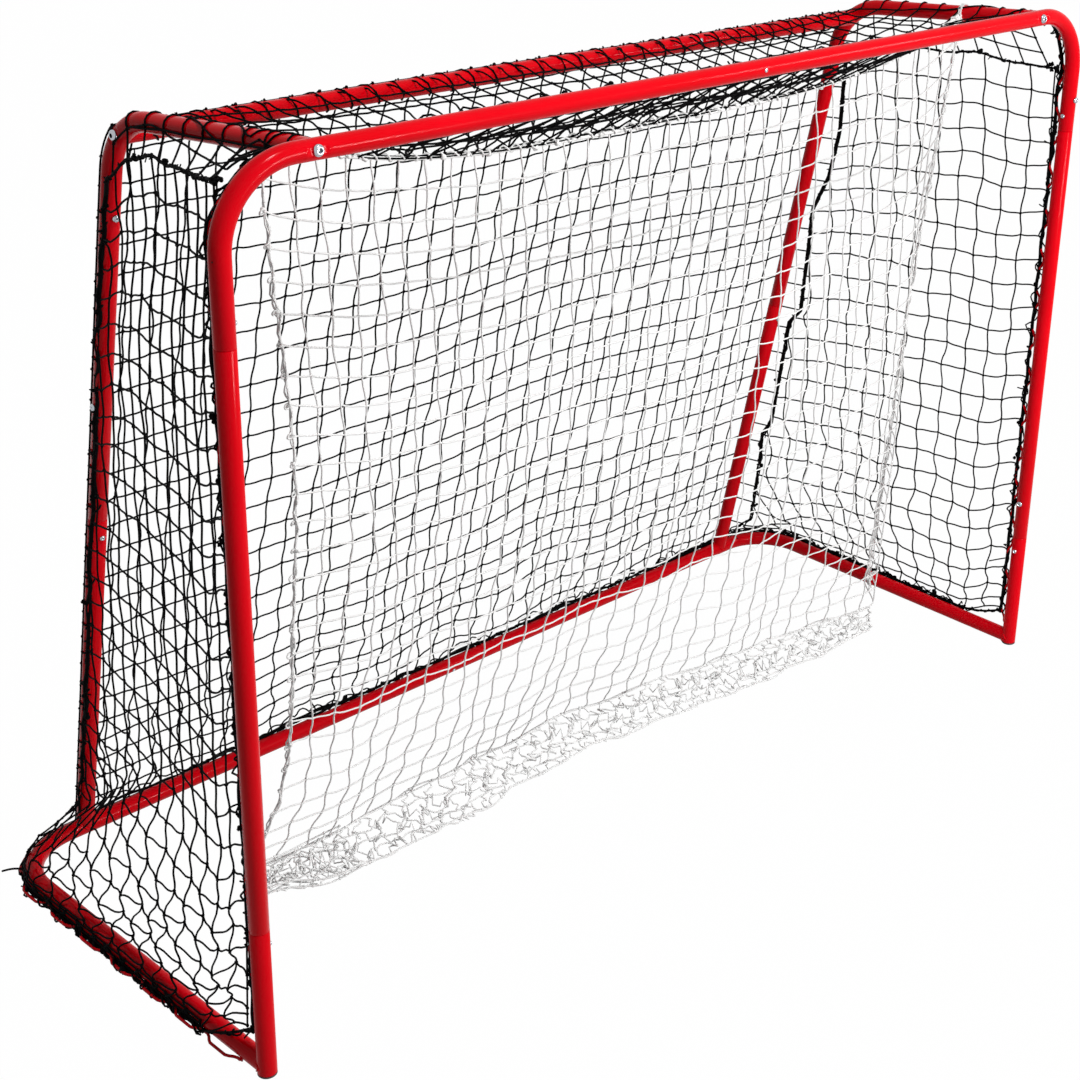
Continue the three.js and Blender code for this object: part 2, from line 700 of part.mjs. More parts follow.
const sideNetSurface = (side) => (u, v) => {
  const share = side > 0 ? u : 1 - u;
  const { point: upright, outward } = hoopAt(sideNetRearLength * v);
  const rear = onPlane(sideNetRearX, upright).addScaledVector(outward, cornerRopeBack);
  const point = at(postX, sideNetFrontY, mix(tubeR, sideNetTopZ, v)).lerp(rear, share);
  const foot = sideNetFoot(share);
  const above = sideNetFlare - sideNetTopZ * v;
  const flareShare = THREE.MathUtils.clamp(above / (sideNetFlare - sideNetSkirt), 0, 1);
  point.x = side * mix(point.x, foot.x, flareShare);
  point.y = mix(point.y, foot.y, flareShare);
  return point;
};

// Top net: from behind the crossbar to the rear top bar, pulled down in a belly by the drop net
const topNetX = hoopX - tubeR - tieCordD - 2 * fitGap;
const topNetFront = { y: sideNetFrontY + netHalf, z: barZ };
const topNetRear = { y: topBarAt.y, z: topBarAt.z + netClear + fitGap };
const bellyAt = (x) => bellyDrop * (1 - (x / topNetX) ** 2);
const topNetDepth = topNetRear.y - topNetFront.y;
const foldLine = dropNetY - topNetFront.y;
const topNetLines = [
  0, ...evenLines(topNetRearRows, topNetDepth - foldLine).map((line) => foldLine + line),
];
const topNetZ = (x, y) => {
  const walked = y - topNetFront.y;
  const sagShare = walked < foldLine ? walked / foldLine : (topNetDepth - walked) / (topNetDepth - foldLine);
  return mix(topNetFront.z, topNetRear.z, walked / topNetDepth) - bellyAt(x) * sagShare;
};
const topNetSurface = (u, v) => {
  const x = mix(-topNetX, topNetX, u);
  const y = mix(topNetFront.y, topNetRear.y, v);
  return at(x, y, topNetZ(x, y));
};

// Drop net with its head rope, the tail on the floor and the two ties
const headRopeDrop = netHalf + 2 * fitGap + headRopeD / 2;
const headRopePoint = (x) => at(x, dropNetY, topNetZ(x, dropNetY) - headRopeDrop);
const headRopeX = hoopX - tubeR - tieKnotD - 2 * fitGap;
const dropNetTopX = headRopeX - headRopeD;
const tailRoute = new THREE.CatmullRomCurve3(tailRouteShares.map(([along, back]) => at(
  mix(tailLeftInset - dropNetTopX, dropNetTopX - tailRightInset, along), tailFrontY + tailWander * back, 0)));
const tailPoint = (share, height) => tailRoute.getPoint(share).addScaledVector(UP, height);
const dropNetSurface = (u, v) => {
  const topX = mix(-dropNetTopX, dropNetTopX, u);
  const head = headRopePoint(topX);
  head.z -= headRopeD / 2 + 3 * fitGap;
  const foot = tailPoint(u, tailFloorGap + tailHeight + fitGap);
  const backShare = (1 - v) ** dropNetSweepPower;
  return at(mix(foot.x, head.x, v), mix(head.y, foot.y, backShare), mix(foot.z, head.z, v));
};

function spread(count, place) {
  return Array.from({ length: count + 1 }, (_, i) => place(i / count));
}

// Tail: the spare net that lies in a low ridge along the floor
function dropTail() {
  const shape = new THREE.Shape();
  shape.absellipse(0, 0, tailHeight / 2, tailDepth / 2, 0, 2 * Math.PI);
  const stations = spread(tailSteps, (share) => ({
    point: tailPoint(share, tailFloorGap + tailHeight / 2), tangent: RIGHT,
  }));
  return sweep(new StationPath(stations), shape, tailSides);
}

// Tie: a white cord over a tube, open below, with its knot at its inner end
function tie(centre, axis, innerDeg) {
  const ringR = tubeR + fitGap + tieCordD / 2;
  const above = new THREE.Vector3().crossVectors(RIGHT, axis);
  const facing = (degrees) => at(Math.cos(rad(degrees)), 0, 0)
    .addScaledVector(above, Math.sin(rad(degrees)));
  const stations = spread(tieSteps, (share) => {
    const turn = mix(tieOuterDeg, innerDeg, share);
    return { point: centre.clone().addScaledVector(facing(turn), ringR), tangent: facing(turn + 90) };
  });
  const knotAt = centre.clone().addScaledVector(facing(innerDeg), tubeR + fitGap + tieKnotD / 2);
  const knot = new THREE.IcosahedronGeometry(tieKnotD / 2, 1).translate(...knotAt.toArray());
  const cord = sweep(new StationPath(stations), circle(tieCordD / 2), ropeSides);
  return fromSolid(solid(cord).add(solid(knot)));
}

function rope(points, diameter) {
  return sweep(pointPath(points), circle(diameter / 2), ropeSides);
}

// Seam rope along the top edge of a side net
function sideSeamRope(side) {
  const surface = sideNetSurface(side);
  const rise = netCordWidth / 2 + fitGap + seamRopeD / 2;
  return rope(spread(ropeSteps, (share) => surface(side > 0 ? share : 1 - share, 1)
    .addScaledVector(UP, rise)), seamRopeD);
}

// Seam rope up the outer rear of an upright, where the side net meets the back net
function cornerSeamRope(side) {
  const bendLines = evenLines(cornerRopeBendSteps, hoopArcLength / 4);
  const lines = [cornerRopeFoot, ...bendLines.map((line) => uprightStraight + line)];
  return rope(lines.map((line) => {
    const { point, outward } = hoopAt(line);
    return onPlane(side * cornerRopeX, point).addScaledVector(outward, cornerRopeBack);
  }), seamRopeD);
}

// Frame
add('front_frame', frontFrame(), paint);
add('base_frame', baseFrame(), paint);
add('rear_top_bar', rearTopBar(), paint);
for (const [name, side] of sides) {
  add(`post_tube_${name}`, postTube(side), paint);
  add(`rear_post_${name}`, rearPost(side), paint);
  add(`hoop_${name}`, hoop(side), paint);
  add(`foot_cap_${name}`, footCap(side), rubber);
}

// Fasteners
for (const [name, side] of sides) {
  add(`crossbar_bolt_${name}`, bolt(boltSeat(frontBolt(side)), frontBolt(side).facing, boltReach), zinc);
  add(`crossbar_insert_${name}`, insert(frontBolt(side)), steel);
  add(`rear_bar_bolt_${name}`, bolt(boltSeat(rearBolt(side)), rearBolt(side).facing, boltReach), zinc);
  add(`rear_bar_insert_${name}`, insert(rearBolt(side)), steel);
  const small = { post_high_screw: highScrew, post_low_screw: lowScrew, rear_post_screw: rearJointScrew };
  const large = {
    post_net_screw: postNetScrew, hoop_front_screw: hoopFrontScrew, hoop_outer_screw: hoopOuterScrew,
  };
  for (const [kind, place] of Object.entries(small)) {
    add(`${kind}_${name}`, screw(place(side).seat, place(side).facing), zinc);
  }
  for (const [kind, place] of Object.entries(large)) {
    add(`${kind}_${name}`, screw(place(side).seat, place(side).facing, netScrewHeadD), zinc);
  }
}
add('post_front_screw_right', screw(postFrontScrew.seat, postFrontScrew.facing, netScrewHeadD), zinc);
add('crossbar_rivet', rivet(crossbarRivet.seat, crossbarRivet.facing), zinc);
add('base_rivet', rivet(baseRivet.seat, baseRivet.facing), zinc);
add('rear_top_bar_rivet', rivet(topBarRivet.seat, topBarRivet.facing), zinc);

// Welded net wires
const barWireX = hoopX - tubeR - wireEndClear;
const barPlace = straightPlace(at(-barWireX, 0, barZ), RIGHT, BACK);
add('crossbar_net_wire', loopWire(barPlace, 2 * barWireX, wireClose), paint);
add('base_net_wire', loopWire(basePlace, baseWireLength, baseWireClose), paint);
for (const [name, side] of sides) {
  const postRun = highJointZ - lowJointZ - 2 * wireEndClear;
  const postFrom = at(side * postX, 0, lowJointZ + wireEndClear);
  const footFrom = at(side * postX, 0, tubeD + wireEndClear);
  const footRun = lowJointZ - tubeD - 2 * wireEndClear;
  add(`corner_net_wire_${name}`, cornerWire(side), paint);
  add(`post_net_wire_${name}`, loopWire(straightPlace(postFrom, UP, BACK), postRun, wireClose), paint);
  add(`foot_net_wire_${name}`, loopWire(straightPlace(footFrom, UP, BACK), footRun, wireClose), paint);
}

// Black net and its seam ropes
add('back_net', netPanel(backNetSurface, evenLines(backNetColumns, 2 * backNetX), backNetLines), blackCord);
add('top_net', netPanel(topNetSurface, evenLines(topNetColumns, 2 * topNetX), topNetLines), blackCord);
for (const [name, side] of sides) {
  const lines = side > 0 ? sideNetLines : sideNetLines.map((line) => sideNetLength - line).reverse();
  add(`side_net_${name}`, netPanel(sideNetSurface(side), lines, sideNetRowLines), blackCord);
  add(`side_seam_rope_${name}`, sideSeamRope(side), blackCord);
  add(`corner_seam_rope_${name}`, cornerSeamRope(side), blackCord);
}

// White drop net
const [dropColumns, dropRows] = dropNetGaps;
add('drop_net', netPanel(dropNetSurface, evenLines(dropColumns, 2 * dropNetTopX),
  evenLines(dropRows, mouthHeight)), whiteCord);
add('drop_net_head_rope', rope(spread(2 * ropeSteps, (share) => headRopePoint(
  mix(-headRopeX, headRopeX, share))), headRopeD), whiteCord);
add('drop_net_tail', dropTail(), whiteCord);
const railTieAt = dropNetY / Math.cos(railFall);
add('drop_net_rail_tie', tie(at(hoopX, 0, barZ).addScaledVector(railDir, railTieAt), railDir,
  railTieInnerDeg), whiteCord);
add('drop_net_base_tie', tie(at(postX, baseTieY, tubeR), BACK, baseTieInnerDeg), whiteCord);

// Origin on the floor, midway between the foremost bolt head and the rearmost net wire
const box = new THREE.Box3().setFromObject(goal);
goal.position.y = -(box.min.y + box.max.y) / 2;

export default goal;
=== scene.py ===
"""Floorball goal: bent and painted steel tube, welded net wires, a knotted black net and a white drop net.

Lengths are metres. Places are worked out from the mouth, with Y = 0 on the middle of the front tubes and
Z = 0 on the floor, and every finished piece is then moved back by the frame's own front line.
"""

import logging
import math
from dataclasses import dataclass, field
from enum import Enum
from typing import Callable, ClassVar, Sequence

import bmesh
import bpy
import numpy as np
from mathutils import Matrix, Vector


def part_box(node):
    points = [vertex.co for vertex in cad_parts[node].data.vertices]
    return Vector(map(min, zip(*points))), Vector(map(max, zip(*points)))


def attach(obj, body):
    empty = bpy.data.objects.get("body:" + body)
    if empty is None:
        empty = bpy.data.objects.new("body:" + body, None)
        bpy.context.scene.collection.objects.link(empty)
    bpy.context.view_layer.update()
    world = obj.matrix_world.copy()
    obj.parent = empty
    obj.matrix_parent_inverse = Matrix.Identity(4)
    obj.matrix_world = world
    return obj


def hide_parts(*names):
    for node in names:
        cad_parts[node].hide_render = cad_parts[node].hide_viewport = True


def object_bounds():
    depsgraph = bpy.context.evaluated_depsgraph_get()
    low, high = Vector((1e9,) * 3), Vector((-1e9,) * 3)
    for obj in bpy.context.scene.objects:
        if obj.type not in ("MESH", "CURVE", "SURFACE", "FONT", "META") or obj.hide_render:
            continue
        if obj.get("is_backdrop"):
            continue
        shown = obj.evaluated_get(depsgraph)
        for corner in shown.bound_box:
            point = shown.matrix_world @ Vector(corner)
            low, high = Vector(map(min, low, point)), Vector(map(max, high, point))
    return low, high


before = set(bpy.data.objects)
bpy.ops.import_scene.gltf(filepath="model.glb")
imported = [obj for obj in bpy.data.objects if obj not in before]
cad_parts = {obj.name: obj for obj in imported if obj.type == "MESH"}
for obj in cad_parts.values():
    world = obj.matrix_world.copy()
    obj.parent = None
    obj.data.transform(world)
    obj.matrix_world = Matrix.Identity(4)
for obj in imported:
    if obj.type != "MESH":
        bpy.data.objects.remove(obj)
cad_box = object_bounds()

LOG = logging.getLogger("floorball_goal")
Array = np.ndarray
Surface = Callable[[Array, Array], Array]
Colour = tuple[float, float, float]
Body = tuple[Array, list[tuple[int, ...]]]
Links = dict[str | int, object]


class Side(Enum):
    """The two sides of the goal, seen from the front."""

    LEFT = -1
    RIGHT = 1

    @property
    def label(self) -> str:
        """The side's word in node names."""
        return self.name.lower()


class Slot(Enum):
    """The goal's material slots."""

    PAINT = "red_paint"
    RUBBER = "cap_rubber"
    ZINC = "bright_zinc"
    STEEL = "insert_steel"
    BLACK = "black_cord"
    WHITE = "white_cord"


# Small vector helpers


def vec(x: float, y: float, z: float) -> Array:
    """A point or a direction."""
    return np.array([x, y, z], float)


ACROSS, BACK, UP = vec(1, 0, 0), vec(0, 1, 0), vec(0, 0, 1)


def unit(v: Array) -> Array:
    """The vector, or each row of an array of them, at length one."""
    length = np.linalg.norm(v, axis=-1, keepdims=True)
    return v / np.maximum(length, 1e-12)


def smooth(t: Array | float) -> Array:
    """Smooth step from 0 to 1 over the unit range."""
    t = np.clip(t, 0.0, 1.0)
    return t * t * (3.0 - 2.0 * t)


def ramp(value: Array, start: Array | float, end: float) -> Array:
    """Share from 0 to 1 of the way from start to end, level beyond both."""
    return np.clip((value - start) / (end - start), 0.0, 1.0)


def rise(value: Array, start: float, end: float) -> Array:
    """Smooth step from 0 to 1 on the way from start to end."""
    return smooth((value - start) / (end - start))


def mix(a: Array | float, b: Array | float, t: Array | float) -> Array:
    """The value a share t of the way from a to b."""
    return a + (b - a) * t


def bezier_like(values: Sequence[float], t: Array) -> Array:
    """Smoothly joined values, evenly spaced along the unit range.

    Args:
        values: The values at even steps.
        t: Shares from 0 to 1.

    Returns:
        The value at each share.
    """
    known = np.asarray(values, float)
    place = np.clip(np.asarray(t, float), 0.0, 1.0) * (len(known) - 1)
    low = np.minimum(place.astype(int), len(known) - 2)
    part = place - low
    before = known[np.maximum(low - 1, 0)]
    after = known[np.minimum(low + 2, len(known) - 1)]
    a, b = known[low], known[low + 1]
    return 0.5 * (2 * a + (b - before) * part + (2 * before - 5 * a + 4 * b - after) * part ** 2
                  + (3 * a - before - 3 * b + after) * part ** 3)


# Sizes


@dataclass(frozen=True)
class GoalSizes:
    """The driving sizes of the goal, the same as in the part's source."""

    mouth_width: float = 1.600
    mouth_height: float = 1.150
    base_depth: float = 0.620
    tube_r: float = 0.0125
    corner_bend_r: float = 0.098
    base_bend_r: float = 0.095
    hoop_bend_r: float = 0.100
    low_joint_z: float = 0.2165
    corner_leg: float = 0.0995
    rear_joint_z: float = 0.554
    joint_screw_setback: float = 0.026
    hoop_inset: float = 0.1205
    rail_fall: float = math.radians(5.9)
    upright_lean: float = math.radians(11.8)
    bolt_seat_r: float = 0.0098
    bolt_seat_sink: float = 0.0011
    cap_flange: float = 0.003
    fit_gap: float = 0.0003
    wire_r: float = 0.002
    wire_loop_pitch: float = 0.075
    wire_loop_reach: float = 0.008
    base_wire_z: float = 0.005
    wire_end_clear: float = 0.014
    drop_net_y: float = 0.142

    @property
    def post_x(self) -> float:
        """Middle of a front post from the goal's middle."""
        return self.mouth_width / 2 + self.tube_r

    @property
    def bar_z(self) -> float:
        """Height of the crossbar's middle line."""
        return self.mouth_height + self.tube_r

    @property
    def high_joint_z(self) -> float:
        """Height of the upper joint of a post."""
        return self.bar_z - self.corner_bend_r - self.corner_leg

    @property
    def hoop_x(self) -> float:
        """Middle of a hoop from the goal's middle."""
        return self.post_x - self.hoop_inset

    @property
    def rail_dir(self) -> Array:
        """The way a rail runs, back from the crossbar."""
        return vec(0, math.cos(self.rail_fall), -math.sin(self.rail_fall))

    @property
    def upright_dir(self) -> Array:
        """The way an upright runs, up from the floor."""
        return vec(0, -math.sin(self.upright_lean), math.cos(self.upright_lean))

    @property
    def upright_back(self) -> Array:
        """The way the back of an upright faces."""
        return vec(0, math.cos(self.upright_lean), math.sin(self.upright_lean))

    @property
    def hoop_turn(self) -> float:
        """Angle that a hoop bends through."""
        return math.pi / 2 - self.rail_fall - self.upright_lean

    @property
    def upright_reach(self) -> float:
        """Length from the rear floor tube to the corner that the bend rounds off.

        Returns:
            The length.
        """
        spread = math.cos(self.rail_fall + self.upright_lean)
        height = self.bar_z - self.tube_r
        return (height * math.cos(self.rail_fall) - self.base_depth * math.sin(self.rail_fall)) / spread

    @property
    def upright_straight(self) -> float:
        """Straight length of an upright below its bend."""
        return self.upright_reach - self.hoop_bend_r * math.tan(self.hoop_turn / 2)

    @property
    def hoop_arc(self) -> float:
        """Length of a hoop's bend."""
        return self.hoop_bend_r * self.hoop_turn

    @property
    def rear_joint(self) -> float:
        """Distance up the upright to its joint."""
        return (self.rear_joint_z - self.tube_r) / math.cos(self.upright_lean)

    def hoop_at(self, distance: Array | float) -> tuple[Array, Array]:
        """Middle line of a hoop at X = 0, from the rear floor tube up, over the bend and forward.

        Args:
            distance: Distances along the middle line.

        Returns:
            The points and the directions that face out of the bend.
        """
        d = np.atleast_1d(np.asarray(distance, float))
        foot = vec(0, self.base_depth, self.tube_r)
        up, back = self.upright_dir, self.upright_back
        centre = foot + up * self.upright_straight - back * self.hoop_bend_r
        turn = np.clip((d - self.upright_straight) / self.hoop_bend_r, 0.0, self.hoop_turn)[:, None]
        outward = back * np.cos(turn) + up * np.sin(turn)
        below = np.minimum(d - self.upright_straight, 0.0)[:, None]
        beyond = np.maximum(d - self.upright_straight - self.hoop_arc, 0.0)[:, None]
        point = centre + outward * self.hoop_bend_r + up * below - self.rail_dir * beyond
        return point, outward

    @property
    def top_bar(self) -> Array:
        """Middle of the rear top bar."""
        return self.hoop_at(self.upright_straight + self.hoop_arc / 2)[0][0]


SIZES = GoalSizes()
FRONT = float(sum(corner.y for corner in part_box("post_tube_left")) / 2)


# Meshes


@dataclass
class Shell:
    """Points and faces of a mesh that is still being made."""

    points: list[Array] = field(default_factory=list)
    faces: list[tuple[int, ...]] = field(default_factory=list)

    def add(self, points: Array, faces: Sequence[tuple[int, ...]]) -> None:
        """Adds a closed body.

        Args:
            points: Its points.
            faces: Its faces, as numbers of its points.
        """
        start = sum(len(block) for block in self.points)
        self.points.append(np.asarray(points, float))
        self.faces.extend(tuple(start + i for i in face) for face in faces)

    def to_object(self, name: str) -> bpy.types.Object:
        """Makes the object, in the goal's place, with its faces turned outwards and shaded smooth.

        Args:
            name: Name of the piece.

        Returns:
            The new object, linked to the scene.
        """
        mesh = bpy.data.meshes.new(name)
        points = np.concatenate(self.points) + vec(0, FRONT, 0)
        mesh.from_pydata(points.tolist(), [], self.faces)
        work = bmesh.new()
        work.from_mesh(mesh)
        bmesh.ops.recalc_face_normals(work, faces=work.faces)
        work.to_mesh(mesh)
        work.free()
        mesh.shade_smooth()
        mesh.set_sharp_from_angle(angle=math.radians(34))
        piece = bpy.data.objects.new(name, mesh)
        bpy.context.scene.collection.objects.link(piece)
        return piece


def ring_faces(rings: int, sides: int) -> list[tuple[int, ...]]:
    """Faces that join rings of points in order, with a cap at both ends.

    Args:
        rings: Number of rings.
        sides: Points in each ring.

    Returns:
        The faces, as numbers of points.
    """
    faces: list[tuple[int, ...]] = []
    for row in range(rings - 1):
        for i in range(sides):
            a, b = row * sides + i, row * sides + (i + 1) % sides
            faces.append((a, b, b + sides, a + sides))
    last = (rings - 1) * sides
    return faces + [tuple(range(sides)), tuple(last + i for i in range(sides))]


@dataclass(frozen=True)
class Station:
    """A ring of a tube: its middle, the way the tube runs there and its radius."""

    point: Array
    heading: Array
    radius: float


def square_to(heading: Array) -> Array:
    """A direction square to a heading, level where it can be."""
    helper = vec(0, 0, 1) if abs(heading[2]) < 0.9 else vec(0, 1, 0)
    return unit(np.cross(heading, helper))


def swept(stations: Sequence[Station], sides: int) -> tuple[Array, list[tuple[int, ...]]]:
    """A closed skin of rings, joined in order and capped at both ends.

    Args:
        stations: The rings in order.
        sides: Points in each ring.

    Returns:
        The points, ring by ring, and the faces.
    """
    angles = np.arange(sides) * (2 * math.pi / sides)
    across = square_to(stations[0].heading)
    rings = []
    for station in stations:
        heading = unit(station.heading)
        across = unit(across - heading * float(across @ heading))
        above = np.cross(heading, across)
        ring = np.cos(angles)[:, None] * across + np.sin(angles)[:, None] * above
        rings.append(station.point + ring * station.radius)
    return np.concatenate(rings), ring_faces(len(rings), sides)


def bent_line(corners: Sequence[Array], bend_r: float, steps: int) -> list[tuple[Array, Array]]:
    """Points and headings of straight runs joined by round bends.

    Args:
        corners: Ends and corners of the run.
        bend_r: Radius of the bends on the middle line.
        steps: Steps in each bend.

    Returns:
        Pairs of point and heading, in order.
    """
    line = [(corners[0], unit(corners[1] - corners[0]))]
    for i in range(1, len(corners) - 1):
        into = unit(corners[i] - corners[i - 1])
        out = unit(corners[i + 1] - corners[i])
        turn = math.acos(float(np.clip(into @ out, -1, 1)))
        inward = unit(out - into * float(out @ into))
        centre = corners[i] - into * bend_r * math.tan(turn / 2) + inward * bend_r
        for angle in np.linspace(0, turn, steps + 1):
            point = centre - inward * bend_r * math.cos(angle) + into * bend_r * math.sin(angle)
            line.append((point, into * math.cos(angle) + inward * math.sin(angle)))
    line.append((corners[-1], unit(corners[-1] - corners[-2])))
    return line


def densified(line: list[tuple[Array, Array]], centre: Array, reach: float, step: float,
              ) -> list[tuple[Array, Array]]:
    """The line with close points wherever it passes near a centre.

    Args:
        line: Points and headings.
        centre: Middle of the close part.
        reach: How far from the centre the close part goes.
        step: Spacing of its points.

    Returns:
        The line with the added points.
    """
    dense = [line[0]]
    for (a, heading_a), (b, heading_b) in zip(line, line[1:]):
        length = float(np.linalg.norm(b - a))
        count = max(1, int(round(length / step)))
        for k in range(1, count):
            share = k / count
            point = mix(a, b, share)
            if np.linalg.norm(point - centre) < reach:
                dense.append((point, unit(mix(heading_a, heading_b, share))))
        dense.append((b, heading_b))
    return dense


@dataclass(frozen=True)
class BoltSeat:
    """The flat seat that was pressed into a tube for a bolt head, with the faint lip round it."""

    centre: Array
    facing: Array
    blend: float = 0.0052
    lip: float = 0.00022
    lip_out: float = 0.0058
    lip_width: float = 0.0016
    zone: float = 0.019
    close_zone: float = 0.024
    close_step: float = 0.0011
    reach: float = 0.030

    def press(self, points: Array) -> None:
        """Presses the seat into the skin points that lie near it.

        Args:
            points: Skin points, moved in place.
        """
        near = np.linalg.norm(points - self.centre, axis=1) < self.reach
        local = points[near] - self.centre
        height = local @ self.facing
        out = np.linalg.norm(local - height[:, None] * self.facing, axis=1)
        level = SIZES.tube_r - SIZES.bolt_seat_sink
        blend = smooth((out - SIZES.bolt_seat_r) / self.blend)
        lip = self.lip * np.exp(-((out - SIZES.bolt_seat_r - self.lip_out) / self.lip_width) ** 2)
        flat = np.minimum(height, mix(level, np.maximum(height, level), blend))
        new_height = np.where(height > 0, flat, height)
        new_height = np.where((height > 0) & (out < self.zone), new_height + lip, new_height)
        points[near] += (new_height - height)[:, None] * self.facing

    def close_up(self, line: list[tuple[Array, Array]]) -> list[tuple[Array, Array]]:
        """The tube's middle line with close points round the seat."""
        return densified(line, self.centre, self.close_zone, self.close_step)


def coped(ring: Array, along: Array, axis_point: Array, axis_dir: Array, radius: float) -> Array:
    """A tube's end ring, cut to the round side of another tube.

    Args:
        ring: Points of the ring.
        along: The way from the other tube into this one.
        axis_point: A point on the other tube's middle line.
        axis_dir: The way the other tube runs.
        radius: Radius that the end is cut to.

    Returns:
        The ring's points, slid along the tube.
    """
    local = ring - axis_point
    flat = local - np.outer(local @ axis_dir, axis_dir)
    slide = along - axis_dir * float(along @ axis_dir)
    a = float(slide @ slide)
    b = flat @ slide
    c = np.einsum("ij,ij->i", flat, flat) - radius ** 2
    root = np.sqrt(np.maximum(b * b - a * c, 0.0))
    return ring + np.outer((-b + root) / a, along)


def lathe(profile: Sequence[tuple[float, float]], base: Array, facing: Array, sides: int,
          ) -> tuple[Array, list[tuple[int, ...]]]:
    """A turned body from pairs of radius and height, closed at both ends.

    Args:
        profile: Radius and height of each ring.
        base: Point at height zero.
        facing: The way the height runs.
        sides: Points in each ring.

    Returns:
        The points and the faces.
    """
    return swept([Station(base + facing * h, facing, max(r, 1e-5)) for r, h in profile], sides)


# Node trees


class Graph:
    """A node tree under construction, with short calls for its nodes and links."""

    def __init__(self, name: str, kind: str = "GeometryNodeTree") -> None:
        """Starts an empty tree of a kind."""
        self.tree = bpy.data.node_groups.new(name, kind)

    def socket(self, name: str, kind: str, default: object = None, out: bool = False) -> str:
        """Adds a named input or output to the tree.

        Args:
            name: Name of the socket.
            kind: Its socket type.
            default: Its value when nothing is given.
            out: True for an output.

        Returns:
            The socket's identifier.
        """
        item = self.tree.interface.new_socket(
            name=name, in_out="OUTPUT" if out else "INPUT", socket_type=kind)
        if default is not None:
            item.default_value = default
        return item.identifier

    def add(self, kind: str, links: Links | None = None, **settings: object) -> bpy.types.Node:
        """Adds a node, sets it up and feeds its inputs.

        Args:
            kind: The node's type.
            links: Inputs by name or number, each fed by a socket or set to a value.
            settings: Properties of the node.

        Returns:
            The node.
        """
        node = self.tree.nodes.new(kind)
        for key, value in settings.items():
            setattr(node, key, value)
        for key, value in (links or {}).items():
            target = node.inputs[key]
            if isinstance(value, bpy.types.NodeSocket):
                self.tree.links.new(value, target)
            else:
                target.default_value = value
        return node

    def out(self, kind: str, links: Links | None = None, **settings: object) -> bpy.types.NodeSocket:
        """Adds a node in the same way and gives its first output."""
        return self.add(kind, links, **settings).outputs[0]

    def ranged(self, value: bpy.types.NodeSocket, low: float, high: float, to_low: float = 0.0,
               to_high: float = 1.0) -> bpy.types.NodeSocket:
        """A value moved from one range to another.

        Args:
            value: The value.
            low: Start of its range.
            high: End of its range.
            to_low: Start of the new range.
            to_high: End of the new range.

        Returns:
            The moved value.
        """
        return self.out("ShaderNodeMapRange", {
            "Value": value, "From Min": low, "From Max": high, "To Min": to_low, "To Max": to_high})

    def named(self, name: str, kind: str) -> bpy.types.NodeSocket:
        """An attribute of the carrier by name, with its data type."""
        return self.out("GeometryNodeInputNamedAttribute", {"Name": name}, data_type=kind)

    def math(self, operation: str, *values: object) -> bpy.types.NodeSocket:
        """Result of a math node on sockets or numbers."""
        return self.out("ShaderNodeMath", dict(enumerate(values)), operation=operation)


